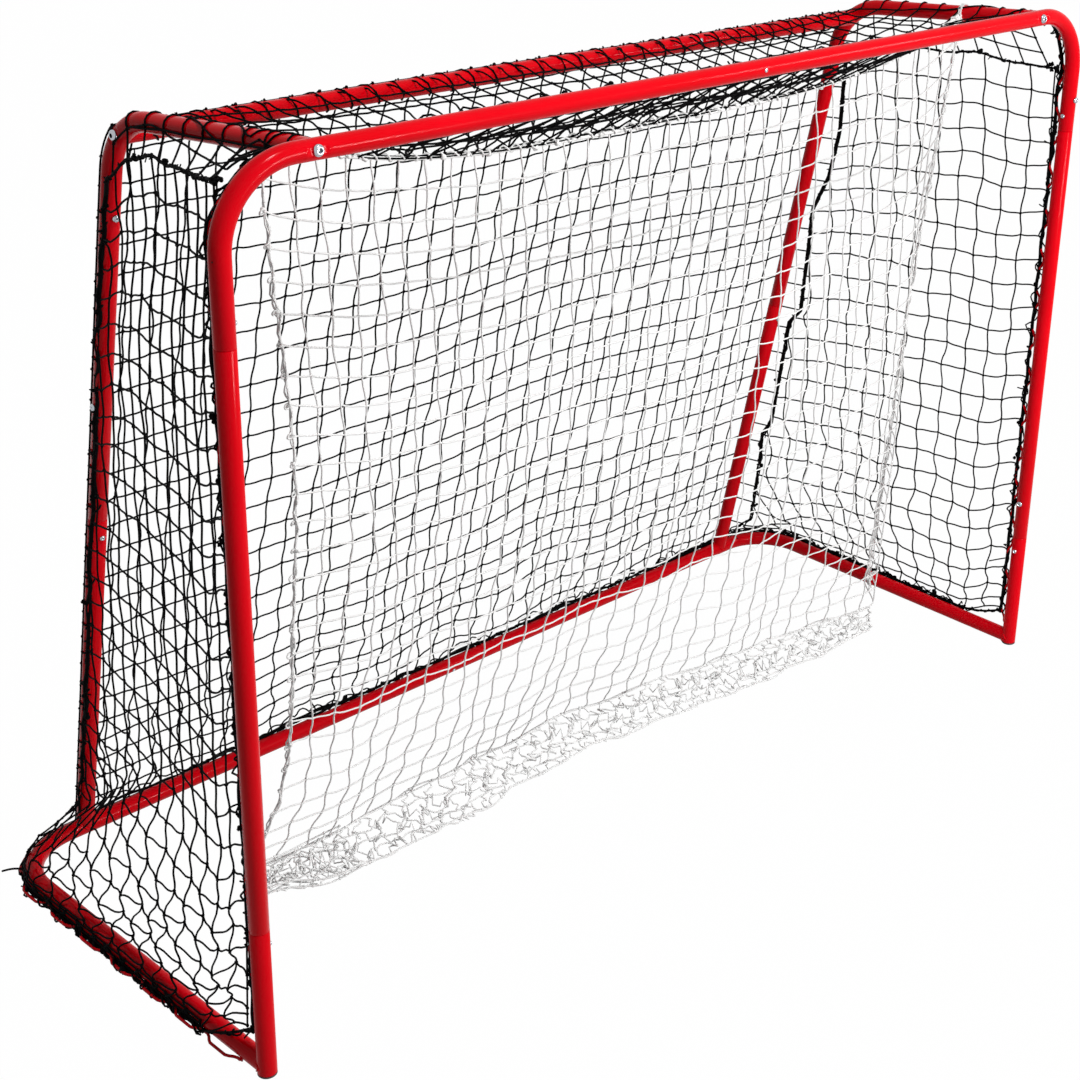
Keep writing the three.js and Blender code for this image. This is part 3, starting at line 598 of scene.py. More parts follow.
def cord_tree() -> tuple[bpy.types.NodeTree, dict[str, str]]:
    """Geometry Nodes that turn lines into round cord, with a wound knot wherever a point asks for one.

    Each point's cord_r is the cord's radius there, knot_r is the knot's radius or zero, and knot_turn
    is the way the knot lies.

    Returns:
        The tree, and the identifiers of its inputs by name.
    """
    graph = Graph("knotted_cord")
    ids = {
        "Lines": graph.socket("Lines", "NodeSocketGeometry"),
        "Sides": graph.socket("Sides", "NodeSocketInt", 6),
        "Knot Turns": graph.socket("Knot Turns", "NodeSocketFloat", 1.6),
        "Knot Sides": graph.socket("Knot Sides", "NodeSocketInt", 4),
        "Finish": graph.socket("Finish", "NodeSocketMaterial"),
    }
    graph.socket("Cord", "NodeSocketGeometry", out=True)
    source = graph.add("NodeGroupInput").outputs

    # Cord along each line, with its length and its way round kept as a UV map
    curve = graph.out("GeometryNodeMeshToCurve", {"Mesh": source["Lines"]})
    walked = graph.add("GeometryNodeSplineParameter").outputs["Length"]
    along = graph.add("GeometryNodeCaptureAttribute", {"Geometry": curve})
    along.capture_items.new("FLOAT", "along")
    graph.tree.links.new(walked, along.inputs[1])
    ring = graph.add("GeometryNodeCurvePrimitiveCircle", {"Resolution": source["Sides"], "Radius": 1.0})
    around = graph.add("GeometryNodeCaptureAttribute", {"Geometry": ring.outputs[0]})
    around.capture_items.new("FLOAT", "around")
    graph.tree.links.new(graph.add("GeometryNodeSplineParameter").outputs["Factor"], around.inputs[1])
    tube = graph.out("GeometryNodeCurveToMesh", {
        "Curve": along.outputs[0], "Profile Curve": around.outputs[0],
        "Scale": graph.named("cord_r", "FLOAT"), "Fill Caps": True})
    turn = around.outputs[1]
    face_turn = graph.out("GeometryNodeFieldOnDomain", {0: turn}, data_type="FLOAT", domain="FACE")
    start_below, seam_above = 0.01, 0.3
    is_start = graph.math("LESS_THAN", turn, start_below)
    is_seam = graph.math("GREATER_THAN", face_turn, seam_above)
    closed_turn = graph.math("ADD", turn, graph.math("MULTIPLY", is_start, is_seam))
    pair = graph.out("ShaderNodeCombineXYZ", {0: along.outputs[1], 1: closed_turn})
    mapped = graph.out("GeometryNodeStoreNamedAttribute", {
        "Geometry": tube, "Name": "cord_uv", "Value": pair}, data_type="FLOAT2", domain="CORNER")

    # Knots: a short wound coil of the same cord, laid on its point
    coil_height = 0.9
    coil = graph.out("GeometryNodeCurveSpiral", {
        "Resolution": 7, "Rotations": source["Knot Turns"], "Start Radius": 0.62, "End Radius": 0.5,
        "Height": coil_height})
    strand = graph.out("GeometryNodeCurvePrimitiveCircle", {
        "Resolution": source["Knot Sides"], "Radius": 0.48})
    wound = graph.out("GeometryNodeCurveToMesh", {
        "Curve": coil, "Profile Curve": strand, "Fill Caps": True})
    centred = graph.out("GeometryNodeSetPosition", {
        "Geometry": wound, "Offset": (0.0, 0.0, -coil_height / 2)})
    knot_r = graph.named("knot_r", "FLOAT")
    turned = graph.out("FunctionNodeEulerToRotation", {0: graph.named("knot_turn", "FLOAT_VECTOR")})
    tied = graph.out("GeometryNodeInstanceOnPoints", {
        "Points": source["Lines"], "Selection": graph.math("GREATER_THAN", knot_r, 0.0001),
        "Instance": centred, "Rotation": turned, "Scale": knot_r})
    joined = graph.add("GeometryNodeJoinGeometry")
    graph.tree.links.new(mapped, joined.inputs[0])
    graph.tree.links.new(tied, joined.inputs[0])
    solid = graph.out("GeometryNodeRealizeInstances", {"Geometry": joined.outputs[0]})
    soft = graph.out("GeometryNodeSetShadeSmooth", {"Geometry": solid})
    done = graph.out("GeometryNodeSetMaterial", {"Geometry": soft, "Material": source["Finish"]})
    graph.add("NodeGroupOutput", {0: done})
    return graph.tree, ids


def scatter_tree() -> tuple[bpy.types.NodeTree, dict[str, str]]:
    """Geometry Nodes that set one made piece on each point, turned to face the point's own way.

    Returns:
        The tree, and the identifiers of its inputs by name.
    """
    graph = Graph("set_on_points")
    ids = {
        "Places": graph.socket("Places", "NodeSocketGeometry"),
        "Piece": graph.socket("Piece", "NodeSocketObject"),
        "Turn Seed": graph.socket("Turn Seed", "NodeSocketInt", 4),
        "Finish": graph.socket("Finish", "NodeSocketMaterial"),
    }
    graph.socket("Pieces", "NodeSocketGeometry", out=True)
    source = graph.add("NodeGroupInput").outputs
    facing = graph.named("facing", "FLOAT_VECTOR")
    size = graph.named("size", "FLOAT")
    full_turn = 6.28
    chance = graph.add("FunctionNodeRandomValue", {
        2: 0.0, 3: full_turn, "Seed": source["Turn Seed"]}, data_type="FLOAT")
    turns = graph.out("ShaderNodeCombineXYZ", {2: chance.outputs[1]})
    spin = graph.out("FunctionNodeEulerToRotation", {0: turns})
    aimed = graph.out("FunctionNodeAlignRotationToVector", {
        "Rotation": spin, "Vector": facing}, axis="Z")
    part = graph.add("GeometryNodeObjectInfo", {"Object": source["Piece"]}).outputs["Geometry"]
    scattered = graph.out("GeometryNodeInstanceOnPoints", {
        "Points": source["Places"], "Instance": part, "Rotation": aimed, "Scale": size})
    solid = graph.out("GeometryNodeRealizeInstances", {"Geometry": scattered})
    done = graph.out("GeometryNodeSetMaterial", {"Geometry": solid, "Material": source["Finish"]})
    graph.add("NodeGroupOutput", {0: done})
    return graph.tree, ids


class Maker:
    """Runs a node tree on a carrier mesh and keeps the result as a plain mesh."""

    def __init__(self) -> None:
        """Builds both trees once."""
        self.cord, self.cord_ids = cord_tree()
        self.scatter, self.scatter_ids = scatter_tree()

    @staticmethod
    def carrier(name: str, points: Array, edges: Sequence[tuple[int, int]],
                values: dict[str, Array]) -> bpy.types.Object:
        """A mesh of points and edges, with values on its points.

        Args:
            name: Name of the object.
            points: The points, from the mouth.
            edges: Pairs of points.
            values: Arrays of one number or three for each point, by name.

        Returns:
            The object, linked to the scene.
        """
        mesh = bpy.data.meshes.new(name)
        mesh.from_pydata((points + vec(0, FRONT, 0)).tolist(), list(edges), [])
        for key, data in values.items():
            wide = np.ndim(data) == 2
            attribute = mesh.attributes.new(key, "FLOAT_VECTOR" if wide else "FLOAT", "POINT")
            flat = np.ascontiguousarray(data, np.float32).ravel()
            attribute.data.foreach_set("vector" if wide else "value", flat)
        piece = bpy.data.objects.new(name, mesh)
        bpy.context.scene.collection.objects.link(piece)
        return piece

    @staticmethod
    def run(piece: bpy.types.Object, tree: bpy.types.NodeTree, inputs: dict[str, object]) -> bpy.types.Object:
        """Puts the tree on the carrier, takes its result as a plain mesh and removes the modifier.

        Args:
            piece: The carrier.
            tree: The Geometry Nodes tree.
            inputs: Values by socket identifier.

        Returns:
            The same object with its finished mesh.
        """
        modifier = piece.modifiers.new("make", "NODES")
        modifier.node_group = tree
        for identifier, value in inputs.items():
            modifier[identifier] = value
        bpy.context.view_layer.update()
        evaluated = piece.evaluated_get(bpy.context.evaluated_depsgraph_get())
        mesh = bpy.data.meshes.new_from_object(evaluated)
        piece.modifiers.remove(modifier)
        piece.data = mesh
        mesh.name = piece.name
        return piece


# Finishes


class Finishes:
    """Every material of the goal and the effects that they share."""

    lay_length: ClassVar[float] = 0.0052
    fibre_roughness: ClassVar[tuple[float, float]] = (0.58, 0.78)

    def __init__(self) -> None:
        """Builds the shared effects, then the materials."""
        self.grain = self._grain_group()
        self.wear = self._wear_group()
        self.of = {
            Slot.PAINT: self._paint(),
            Slot.ZINC: self._metal(Slot.ZINC, (0.42, 0.445, 0.48), roughness=0.16, uneven=0.05, scale=320.0),
            Slot.STEEL: self._metal(Slot.STEEL, (0.42, 0.43, 0.45), roughness=0.38, uneven=0.10, scale=180.0),
            Slot.RUBBER: self._rubber(),
            # Each cord's first colour is the painted shade in its grooves, the second the colour of its strands.
            Slot.BLACK: self._cord(Slot.BLACK, (0.0014, 0.0014, 0.0016), (0.0050, 0.0050, 0.0055),
                                   sheen=0.0, shine=0.025),
            Slot.WHITE: self._cord(Slot.WHITE, (0.94, 0.94, 0.93), (0.98, 0.98, 0.975),
                                   sheen=0.25, shine=0.90),
        }

    @staticmethod
    def _grain_group() -> bpy.types.NodeTree:
        """Fine uneven skin, such as orange peel or moulding grain, as a mask from 0 to 1.

        Returns:
            The node group.
        """
        graph = Graph("surface_grain", "ShaderNodeTree")
        graph.socket("Scale", "NodeSocketFloat", 400.0)
        graph.socket("Detail", "NodeSocketFloat", 3.0)
        graph.socket("Mask", "NodeSocketFloat", out=True)
        source = graph.add("NodeGroupInput").outputs
        place = graph.add("ShaderNodeTexCoord").outputs["Object"]
        noise = graph.out("ShaderNodeTexNoise", {
            "Vector": place, "Scale": source["Scale"], "Detail": source["Detail"],
            "Roughness": 0.55})
        graph.add("NodeGroupOutput", {0: noise})
        return graph.tree

    @staticmethod
    def _wear_group() -> bpy.types.NodeTree:
        """Handling marks and dust that lie in broad patches, and thicken near the floor, from 0 to 1.

        Returns:
            The node group.
        """
        graph = Graph("handling_wear", "ShaderNodeTree")
        graph.socket("Patch Scale", "NodeSocketFloat", 9.0)
        graph.socket("Amount", "NodeSocketFloat", 0.4)
        graph.socket("Mask", "NodeSocketFloat", out=True)
        source = graph.add("NodeGroupInput").outputs
        place = graph.add("ShaderNodeTexCoord").outputs["Object"]
        patches = graph.out("ShaderNodeTexNoise", {
            "Vector": place, "Scale": source["Patch Scale"], "Detail": 5.0, "Roughness": 0.62})
        height = graph.add("ShaderNodeSeparateXYZ", {0: place}).outputs[2]
        low = graph.ranged(height, 0.0, 0.05, 0.22, 0.0)
        mask = graph.ranged(graph.math("ADD", patches, low), 0.50, 0.80)
        graph.add("NodeGroupOutput", {0: graph.math("MULTIPLY", mask, source["Amount"])})
        return graph.tree

    @staticmethod
    def _blank(slot: Slot) -> tuple[bpy.types.Material, "MaterialGraph"]:
        """A new material for a slot, with its shader and output in place.

        Args:
            slot: The material slot, which names the material.

        Returns:
            The material and its node tree.
        """
        material = bpy.data.materials.new(slot.value)
        material.use_nodes = True
        return material, MaterialGraph(material)

    def _paint(self) -> bpy.types.Material:
        """Glossy red powder coat: faint orange peel, slow colour drift and a little floor dust.

        Returns:
            The material.
        """
        material, graph = self._blank(Slot.PAINT)
        peel = graph.group(self.grain, {"Scale": 420.0, "Detail": 2.0})
        drift = graph.group(self.grain, {"Scale": 7.0, "Detail": 3.0})
        wear = graph.group(self.wear, {"Patch Scale": 11.0, "Amount": 0.35})
        colour = graph.mix_colour(drift, (0.78, 0.0004, 0.0060, 1), (0.84, 0.0007, 0.0085, 1), 0.35, 0.65)
        dusty = graph.mix_colour(wear, colour, (0.76, 0.0022, 0.0095, 1))
        graph.feed("Base Color", dusty)
        graph.feed("Roughness", graph.ranged(wear, 0.0, 1.0, 0.17, 0.30))
        graph.set(**{"Specular IOR Level": 0.035, "Coat Weight": 0.04, "Coat Roughness": 0.05})
        graph.bump(peel, 0.10, 0.00012)
        return material

    def _metal(self, slot: Slot, colour: Colour, roughness: float, uneven: float, scale: float,
               ) -> bpy.types.Material:
        """Plated or bare metal with fine rub marks.

        Args:
            slot: The material slot.
            colour: Colour of the metal.
            roughness: Its middle roughness.
            uneven: How far the roughness strays.
            scale: Fineness of the marks.

        Returns:
            The material.
        """
        material, graph = self._blank(slot)
        marks = graph.group(self.grain, {"Scale": scale, "Detail": 4.0})
        wear = graph.group(self.wear, {"Patch Scale": 60.0, "Amount": 0.5})
        dark = tuple(0.72 * c for c in colour)
        graph.feed("Base Color", graph.mix_colour(wear, (*colour, 1), (*dark, 1)))
        graph.feed("Roughness", graph.ranged(marks, 0.3, 0.7, roughness - uneven, roughness + uneven))
        graph.set(Metallic=1.0)
        graph.bump(marks, 0.12, 0.00005)
        return material

    def _rubber(self) -> bpy.types.Material:
        """Dark moulded plastic with a fine grain, paler where it scuffs on the floor.

        Returns:
            The material.
        """
        material, graph = self._blank(Slot.RUBBER)
        grain = graph.group(self.grain, {"Scale": 900.0, "Detail": 2.0})
        wear = graph.group(self.wear, {"Patch Scale": 140.0, "Amount": 0.8})
        graph.feed("Base Color", graph.mix_colour(wear, (0.018, 0.005, 0.006, 1), (0.060, 0.040, 0.040, 1)))
        graph.feed("Roughness", graph.ranged(wear, 0.0, 1.0, 0.55, 0.78))
        graph.bump(grain, 0.3, 0.0001)
        return material

    def _cord(self, slot: Slot, low: Colour, high: Colour, sheen: float, shine: float,
              ) -> bpy.types.Material:
        """Twisted and knotted cord: lay of the strands with painted shade in the grooves between them, loose
        fibre and slight colour drift.

        Args:
            slot: The material slot.
            low: Colour in the grooves, darker as painted shade.
            high: Colour on the strands.
            sheen: Weight of its sheen.
            shine: Level of its plain reflection.

        Returns:
            The material.
        """
        material, graph = self._blank(slot)
        uv = graph.out("ShaderNodeUVMap", uv_map="cord_uv")
        split = graph.add("ShaderNodeSeparateXYZ", {0: uv})
        turns = graph.math("MULTIPLY", split.outputs[0], 1.0 / self.lay_length)
        phase = graph.math("ADD", turns, graph.math("MULTIPLY", split.outputs[1], 3.0))
        wave = graph.math("SINE", graph.math("MULTIPLY", phase, 2 * math.pi))
        lay = graph.ranged(wave, -1.0, 0.6, 0.0, 1.0)
        fibre = graph.group(self.grain, {"Scale": 1500.0, "Detail": 3.0})
        drift = graph.group(self.grain, {"Scale": 14.0, "Detail": 2.0})
        height = graph.math("ADD", lay, graph.math("MULTIPLY", fibre, 0.6))
        # The grooves between the strands take the darker colour: painted shade in the lay.
        strand = graph.mix_colour(lay, (*low, 1), (*high, 1))
        faded = tuple(0.5 * (a + b) for a, b in zip(low, high))
        graph.feed("Base Color", graph.mix_colour(drift, strand, (*faded, 1), 0.45, 0.75))
        graph.feed("Roughness", graph.ranged(fibre, 0.3, 0.7, *self.fibre_roughness))
        graph.set(**{"Sheen Weight": sheen, "Specular IOR Level": shine})
        graph.bump(height, 0.5, 0.0003)
        return material


class MaterialGraph(Graph):
    """The node tree of one material, with its shader already there."""

    def __init__(self, material: bpy.types.Material) -> None:
        """Takes over the material's own tree."""
        self.tree = material.node_tree
        self.shader = next(n for n in self.tree.nodes if n.type == "BSDF_PRINCIPLED")

    def group(self, tree: bpy.types.NodeTree, values: dict[str, float]) -> bpy.types.NodeSocket:
        """Places a shared effect with its own values.

        Args:
            tree: The effect's node group.
            values: Its inputs by name.

        Returns:
            Its output.
        """
        node = self.tree.nodes.new("ShaderNodeGroup")
        node.node_tree = tree
        for key, value in values.items():
            node.inputs[key].default_value = value
        return node.outputs[0]

    def set(self, **values: object) -> None:
        """Sets plain values on the shader."""
        for key, value in values.items():
            self.shader.inputs[key].default_value = value

    def feed(self, name: str, value: bpy.types.NodeSocket) -> None:
        """Links a socket into the shader."""
        self.tree.links.new(value, self.shader.inputs[name])

    def mix_colour(self, mask: bpy.types.NodeSocket, low: object, high: object,
                   start: float = 0.0, end: float = 1.0) -> bpy.types.NodeSocket:
        """Colour between two, by a mask.

        Args:
            mask: The mask.
            low: Colour or socket at its start.
            high: Colour or socket at its end.
            start: Value of the mask that gives the first colour alone.
            end: Value of the mask that gives the second one alone.

        Returns:
            The mixed colour.
        """
        share = mask if (start, end) == (0.0, 1.0) else self.ranged(mask, start, end, 0.0, 1.0)
        node = self.tree.nodes.new("ShaderNodeMix")
        node.data_type = "RGBA"
        sockets = [s for s in node.inputs if s.enabled]
        for target, value in zip(sockets, (share, low, high)):
            if isinstance(value, bpy.types.NodeSocket):
                self.tree.links.new(value, target)
            else:
                target.default_value = value
        return next(s for s in node.outputs if s.enabled)

    def bump(self, height: bpy.types.NodeSocket, strength: float, distance: float) -> None:
        """Feeds a height into the shader's normal."""
        node = self.add("ShaderNodeBump", {"Height": height, "Strength": strength, "Distance": distance})
        self.feed("Normal", node.outputs[0])


class WorldGraph(Graph):
    """The node tree of the world."""

    def __init__(self, world: bpy.types.World) -> None:
        """Takes over the world's own tree."""
        self.tree = world.node_tree


@dataclass
class Builder:
    """What each group of pieces is built and finished with."""

    maker: Maker
    finishes: Finishes
    slot: ClassVar[Slot] = Slot.PAINT

    def finish(self, piece: bpy.types.Object, replaced: Sequence[str] = (), slot: Slot | None = None) -> None:
        """Gives a made piece the material of its slot, puts it under the root body and hides the CAD nodes that
        it stands for.

        Args:
            piece: The piece.
            replaced: Names of the CAD nodes that it stands for.
            slot: The material slot, where it isn't the group's own.
        """
        slot = slot or self.slot
        if not piece.data.materials:
            piece.data.materials.append(self.finishes.of[slot])
        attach(piece, "root")
        if replaced:
            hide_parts(*replaced)
        LOG.info("%s: %d points", piece.name, len(piece.data.vertices))

    def keep_bodies(self, name: str, node: str, *bodies: Body, slot: Slot | None = None) -> None:
        """Makes one piece of closed bodies and finishes it.

        Args:
            name: Name of the piece.
            node: CAD node that it replaces.
            bodies: Points and faces of each body.
            slot: The material slot, where it isn't the group's own.
        """
        shell = Shell()
        for points, faces in bodies:
            shell.add(points, faces)
        self.finish(shell.to_object(name), [node], slot)

    def keep_cords(self, cords: "CordLines", name: str, nodes: Sequence[str] = (), sides: int = 6) -> None:
        """Runs the cords of one piece and finishes it.

        Args:
            cords: The cords.
            name: Name of the piece.
            nodes: Names of the CAD nodes that it replaces.
            sides: Sides of a cord.
        """
        self.finish(cords.to_piece(self.maker, name, self.finishes.of[self.slot], sides), nodes)

    def scatter(self, name: str, master: bpy.types.Object, values: dict[str, Array], places: Array,
                turn_seed: int, nodes: Sequence[str] = ()) -> None:
        """Sets copies of a master piece on places, removes the master and finishes the result.

        Args:
            name: Name of the piece.
            master: The piece to copy.
            values: The facing and the size at each place, by name.
            places: Points of the places.
            turn_seed: Chooses how each copy is turned round its own axis.
            nodes: Names of the CAD nodes that it replaces.
        """
        spots = self.maker.carrier(name, places, [], values)
        ids = self.maker.scatter_ids
        piece = self.maker.run(spots, self.maker.scatter, {
            ids["Piece"]: master, ids["Turn Seed"]: turn_seed, ids["Finish"]: self.finishes.of[self.slot]})
        bpy.data.objects.remove(master)
        self.finish(piece, nodes)


# The steel


@dataclass
class SteelFrame(Builder):
    """The bolted frame: front frame, posts, floor frame, rear posts, hoops, top bar and foot caps."""

    sides: int = 48
    pressed_sides: int = 64
    bend_steps: int = 26
    lip: float = 0.0005
    bore: float = 0.0110
    neck: float = 0.0104
    neck_length: float = 0.010
    mouth_depth: float = 0.012
    foot_recess: float = 0.002
    weld_sink: float = 0.0006
    bead_r: float = 0.0015
    bead_rise: float = 0.0001
    bead_floor_gap: float = 0.0022

    def _end(self, point: Array, inward: Array, heading: Array, necked: bool = False) -> list[Station]:
        """Rings of a tube end, out of its bore or off the shoulder of its neck and over the rounded lip.

        Args:
            point: Middle of the end.
            inward: The way from the end into the tube.
            heading: The way the rings face.
            necked: True where the end is reduced to a neck.

        Returns:
            The rings, from the inside out.
        """
        r, lip = SIZES.tube_r, self.lip
        inner = [(self.mouth_depth, self.bore), (lip, self.bore), (0.0, self.bore + lip)]
        if necked:
            inner = [(-self.neck_length, self.neck), (0.0, self.neck)]
        outer = [(0.0, r - lip), (lip * 0.35, r - lip * 0.3), (lip, r)]
        return [Station(point + inward * depth, heading, radius) for depth, radius in inner + outer]

    @staticmethod
    def _skin(line: Sequence[tuple[Array, Array]]) -> list[Station]:
        """Rings of full size along a line."""
        return [Station(point, heading, SIZES.tube_r) for point, heading in line]

    def front_frame(self) -> None:
        """Crossbar with both corner bends, down to the upper joints, and the two pressed bolt seats."""
        x, z, low = SIZES.post_x, SIZES.bar_z, SIZES.high_joint_z + SIZES.fit_gap
        line = bent_line([vec(-x, 0, low), vec(-x, 0, z), vec(x, 0, z), vec(x, 0, low)],
                         SIZES.corner_bend_r, self.bend_steps)
        seats = [BoltSeat(vec(side.value * SIZES.hoop_x, 0, z), -SIZES.rail_dir) for side in Side]
        for seat in seats:
            line = seat.close_up(line)
        stations = (self._end(line[0][0], UP, UP) + self._skin(line[1:-1])
                    + self._end(line[-1][0], UP, -UP)[::-1])
        points, faces = swept(stations, self.pressed_sides)
        for seat in seats:
            seat.press(points)
        self.keep_bodies("front_frame_tube", "front_frame", (points, faces))

    def post(self, side: Side) -> None:
        """Straight post between the two joints, with a reduced neck at each end.

        Args:
            side: Side of the goal.
        """
        x = side.value * SIZES.post_x
        stations = (self._end(vec(x, 0, SIZES.low_joint_z), UP, UP, necked=True)
                    + self._end(vec(x, 0, SIZES.high_joint_z), -UP, UP, necked=True)[::-1])
        self.keep_bodies(f"post_{side.label}", f"post_tube_{side.label}", swept(stations, self.sides))

    def floor_frame(self) -> None:
        """Floor tube round the sides and the back, with its short welded posts."""
        x, y, r = SIZES.post_x, SIZES.base_depth, SIZES.tube_r
        line = bent_line([vec(-x, 0, r), vec(-x, y, r), vec(x, y, r), vec(x, 0, r)],
                         SIZES.base_bend_r, self.bend_steps)
        points, faces = swept(self._skin(line), self.sides)
        for side, ring in ((Side.LEFT, slice(0, self.sides)), (Side.RIGHT, slice(-self.sides, None))):
            points[ring] = coped(points[ring], BACK, vec(side.value * x, 0, 0), UP, r - self.weld_sink)
        bodies = [(points, faces)]
        for side in Side:
            foot = vec(side.value * x, 0, SIZES.cap_flange)
            rings = ((self.foot_recess, self.bore), (0.0, self.bore), (0.0, r - self.lip), (self.lip, r))
            stations = [Station(foot + UP * rise, UP, radius) for rise, radius in rings]
            top = vec(side.value * x, 0, SIZES.low_joint_z - SIZES.fit_gap)
            bodies.append(swept(stations + self._end(top, -UP, UP)[::-1], self.sides))
        self.keep_bodies("floor_frame_tube", "base_frame", *bodies)

    def rear_post(self, side: Side) -> None:
        """Lower part of an upright, cut to the rear floor tube and open at its upper end.

        Args:
            side: Side of the goal.
        """
        up = SIZES.upright_dir
        foot = vec(side.value * SIZES.hoop_x, SIZES.base_depth, SIZES.tube_r)
        top = foot + up * (SIZES.rear_joint - SIZES.fit_gap)
        stations = [Station(foot, up, SIZES.tube_r)] + self._end(top, -up, up)[::-1]
        points, faces = swept(stations, self.sides)
        ring = slice(0, self.sides)
        points[ring] = coped(points[ring], up, foot, ACROSS, SIZES.tube_r - self.weld_sink)
        self.keep_bodies(f"upright_foot_{side.label}", f"rear_post_{side.label}", (points, faces))

    def hoop(self, side: Side) -> None:
        """Rail, bend and upper upright in one tube, with its pressed bolt seat and reduced lower end.

        Args:
            side: Side of the goal.
        """
        x, up = side.value * SIZES.hoop_x, SIZES.upright_dir
        front = vec(x, 0, SIZES.bar_z)
        corner = vec(x, SIZES.base_depth, SIZES.tube_r) + up * SIZES.upright_reach
        joint = SIZES.hoop_at(SIZES.rear_joint)[0][0] + vec(x, 0, 0)
        seat = BoltSeat(SIZES.top_bar + vec(x, 0, 0), side.value * ACROSS)
        line = seat.close_up(bent_line([front, corner, joint], SIZES.hoop_bend_r, self.bend_steps))
        stations = self._skin(line[:-1]) + self._end(joint, up, -up, necked=True)[::-1]
        points, faces = swept(stations, self.pressed_sides)
        ring = slice(0, self.pressed_sides)
        points[ring] = coped(points[ring], SIZES.rail_dir, front, ACROSS, SIZES.tube_r + SIZES.fit_gap)
        seat.press(points)
        self.keep_bodies(f"hoop_tube_{side.label}", f"hoop_{side.label}", (points, faces))

    def top_bar(self) -> None:
        """Straight bar between the bends of the hoops, cut to both of them."""
        middle, x = SIZES.top_bar, SIZES.hoop_x
        outward = SIZES.hoop_at(SIZES.upright_straight + SIZES.hoop_arc / 2)[1][0]
        tangent = np.cross(outward, ACROSS)
        stations = self._skin([(middle - x * ACROSS, ACROSS), (middle + x * ACROSS, ACROSS)])
        points, faces = swept(stations, self.sides)
        reach = SIZES.tube_r + SIZES.fit_gap
        for ring, way in ((slice(0, self.sides), 1.0), (slice(-self.sides, None), -1.0)):
            points[ring] = coped(points[ring], way * ACROSS, middle - way * x * ACROSS, tangent, reach)
        self.keep_bodies("top_bar_tube", "rear_top_bar", (points, faces))

    def foot_cap(self, side: Side) -> None:
        """Moulded cap with a rounded flange, plugged into the bottom of a front post.

        Args:
            side: Side of the goal.
        """
        r, flange, plug = SIZES.tube_r, SIZES.cap_flange - SIZES.fit_gap, self.bore - 0.0006
        profile = [(r - 0.0022, 0.0004), (r - 0.0016, 0.0), (r - 0.0007, 0.0), (r - 0.0002, 0.0005),
                   (r, 0.0011), (r, flange - 0.0005), (r - 0.0005, flange), (plug, flange),
                   (plug, flange + 0.0018)]
        body = lathe(profile, vec(side.value * SIZES.post_x, 0, 0), UP, self.sides)
        self.keep_bodies(f"floor_cap_{side.label}", f"foot_cap_{side.label}", body, slot=Slot.RUBBER)

    @staticmethod
    def _saddle(centre: Array, branch: Array, main: Array, radius: float, steps: int = 96) -> Array:
        """Line where a branch tube meets the side of a main tube.

        Args:
            centre: Where the two middle lines cross.
            branch: The way the branch runs out.
            main: The way the main tube runs.
            radius: Radius of both tubes on the line.
            steps: Points round the line.

        Returns:
            The points in order.
        """
        first = unit(main - branch * float(main @ branch))
        second = np.cross(branch, first)
        angle = np.arange(steps) * (2 * math.pi / steps)
        ring = centre + radius * (np.cos(angle)[:, None] * first + np.sin(angle)[:, None] * second)
        return coped(ring, branch, centre, main, radius)

    def welds(self) -> None:
        """Rippled weld beads where the floor tube meets the short posts and the rear posts."""
        cords = CordLines(seed=3)
        r = SIZES.tube_r + self.bead_rise
        for side in Side:
            foot = vec(side.value * SIZES.post_x, 0, SIZES.tube_r)
            bead = self._saddle(foot, BACK, UP, r)
            order = np.argsort(np.arctan2(bead[:, 0] - foot[0], -(bead[:, 2] - foot[2])))
            bead = bead[order]
            bead = bead[bead[:, 2] > self.bead_floor_gap]
            cords.rippled(bead, self.bead_r, closed=False)
            foot = vec(side.value * SIZES.hoop_x, SIZES.base_depth, SIZES.tube_r)
            cords.rippled(self._saddle(foot, SIZES.upright_dir, ACROSS, r), self.bead_r, closed=True)
        self.keep_cords(cords, "tube_welds", sides=8)

    def build(self) -> None:
        """Builds every tube, cap and bead in order."""
        self.front_frame()
        self.floor_frame()
        self.top_bar()
        for side in Side:
            self.post(side)
            self.rear_post(side)
            self.hoop(side)
            self.foot_cap(side)
        self.welds()


# Cords


def soft_noise(rng: np.random.Generator, shape: tuple[int, ...]) -> Array:
    """Chance that changes slowly over the last two axes of a grid, about -2 to 2.

    Args:
        rng: The chain of chance.
        shape: Shape of the grid.

    Returns:
        The grid.
    """
    noise = rng.standard_normal(shape)
    level, widest = 2.45, 2
    for axis in (-2, -1):
        noise = (np.roll(noise, 1, axis) + 2 * noise + np.roll(noise, -1, axis)) / level
    return noise.clip(-widest, widest)


def running_noise(rng: np.random.Generator, size: int) -> Array:
    """Chance along a line, evened out over five neighbours."""
    return np.convolve(rng.standard_normal(size + 8), np.ones(5) / 5, "same")[4:-4]


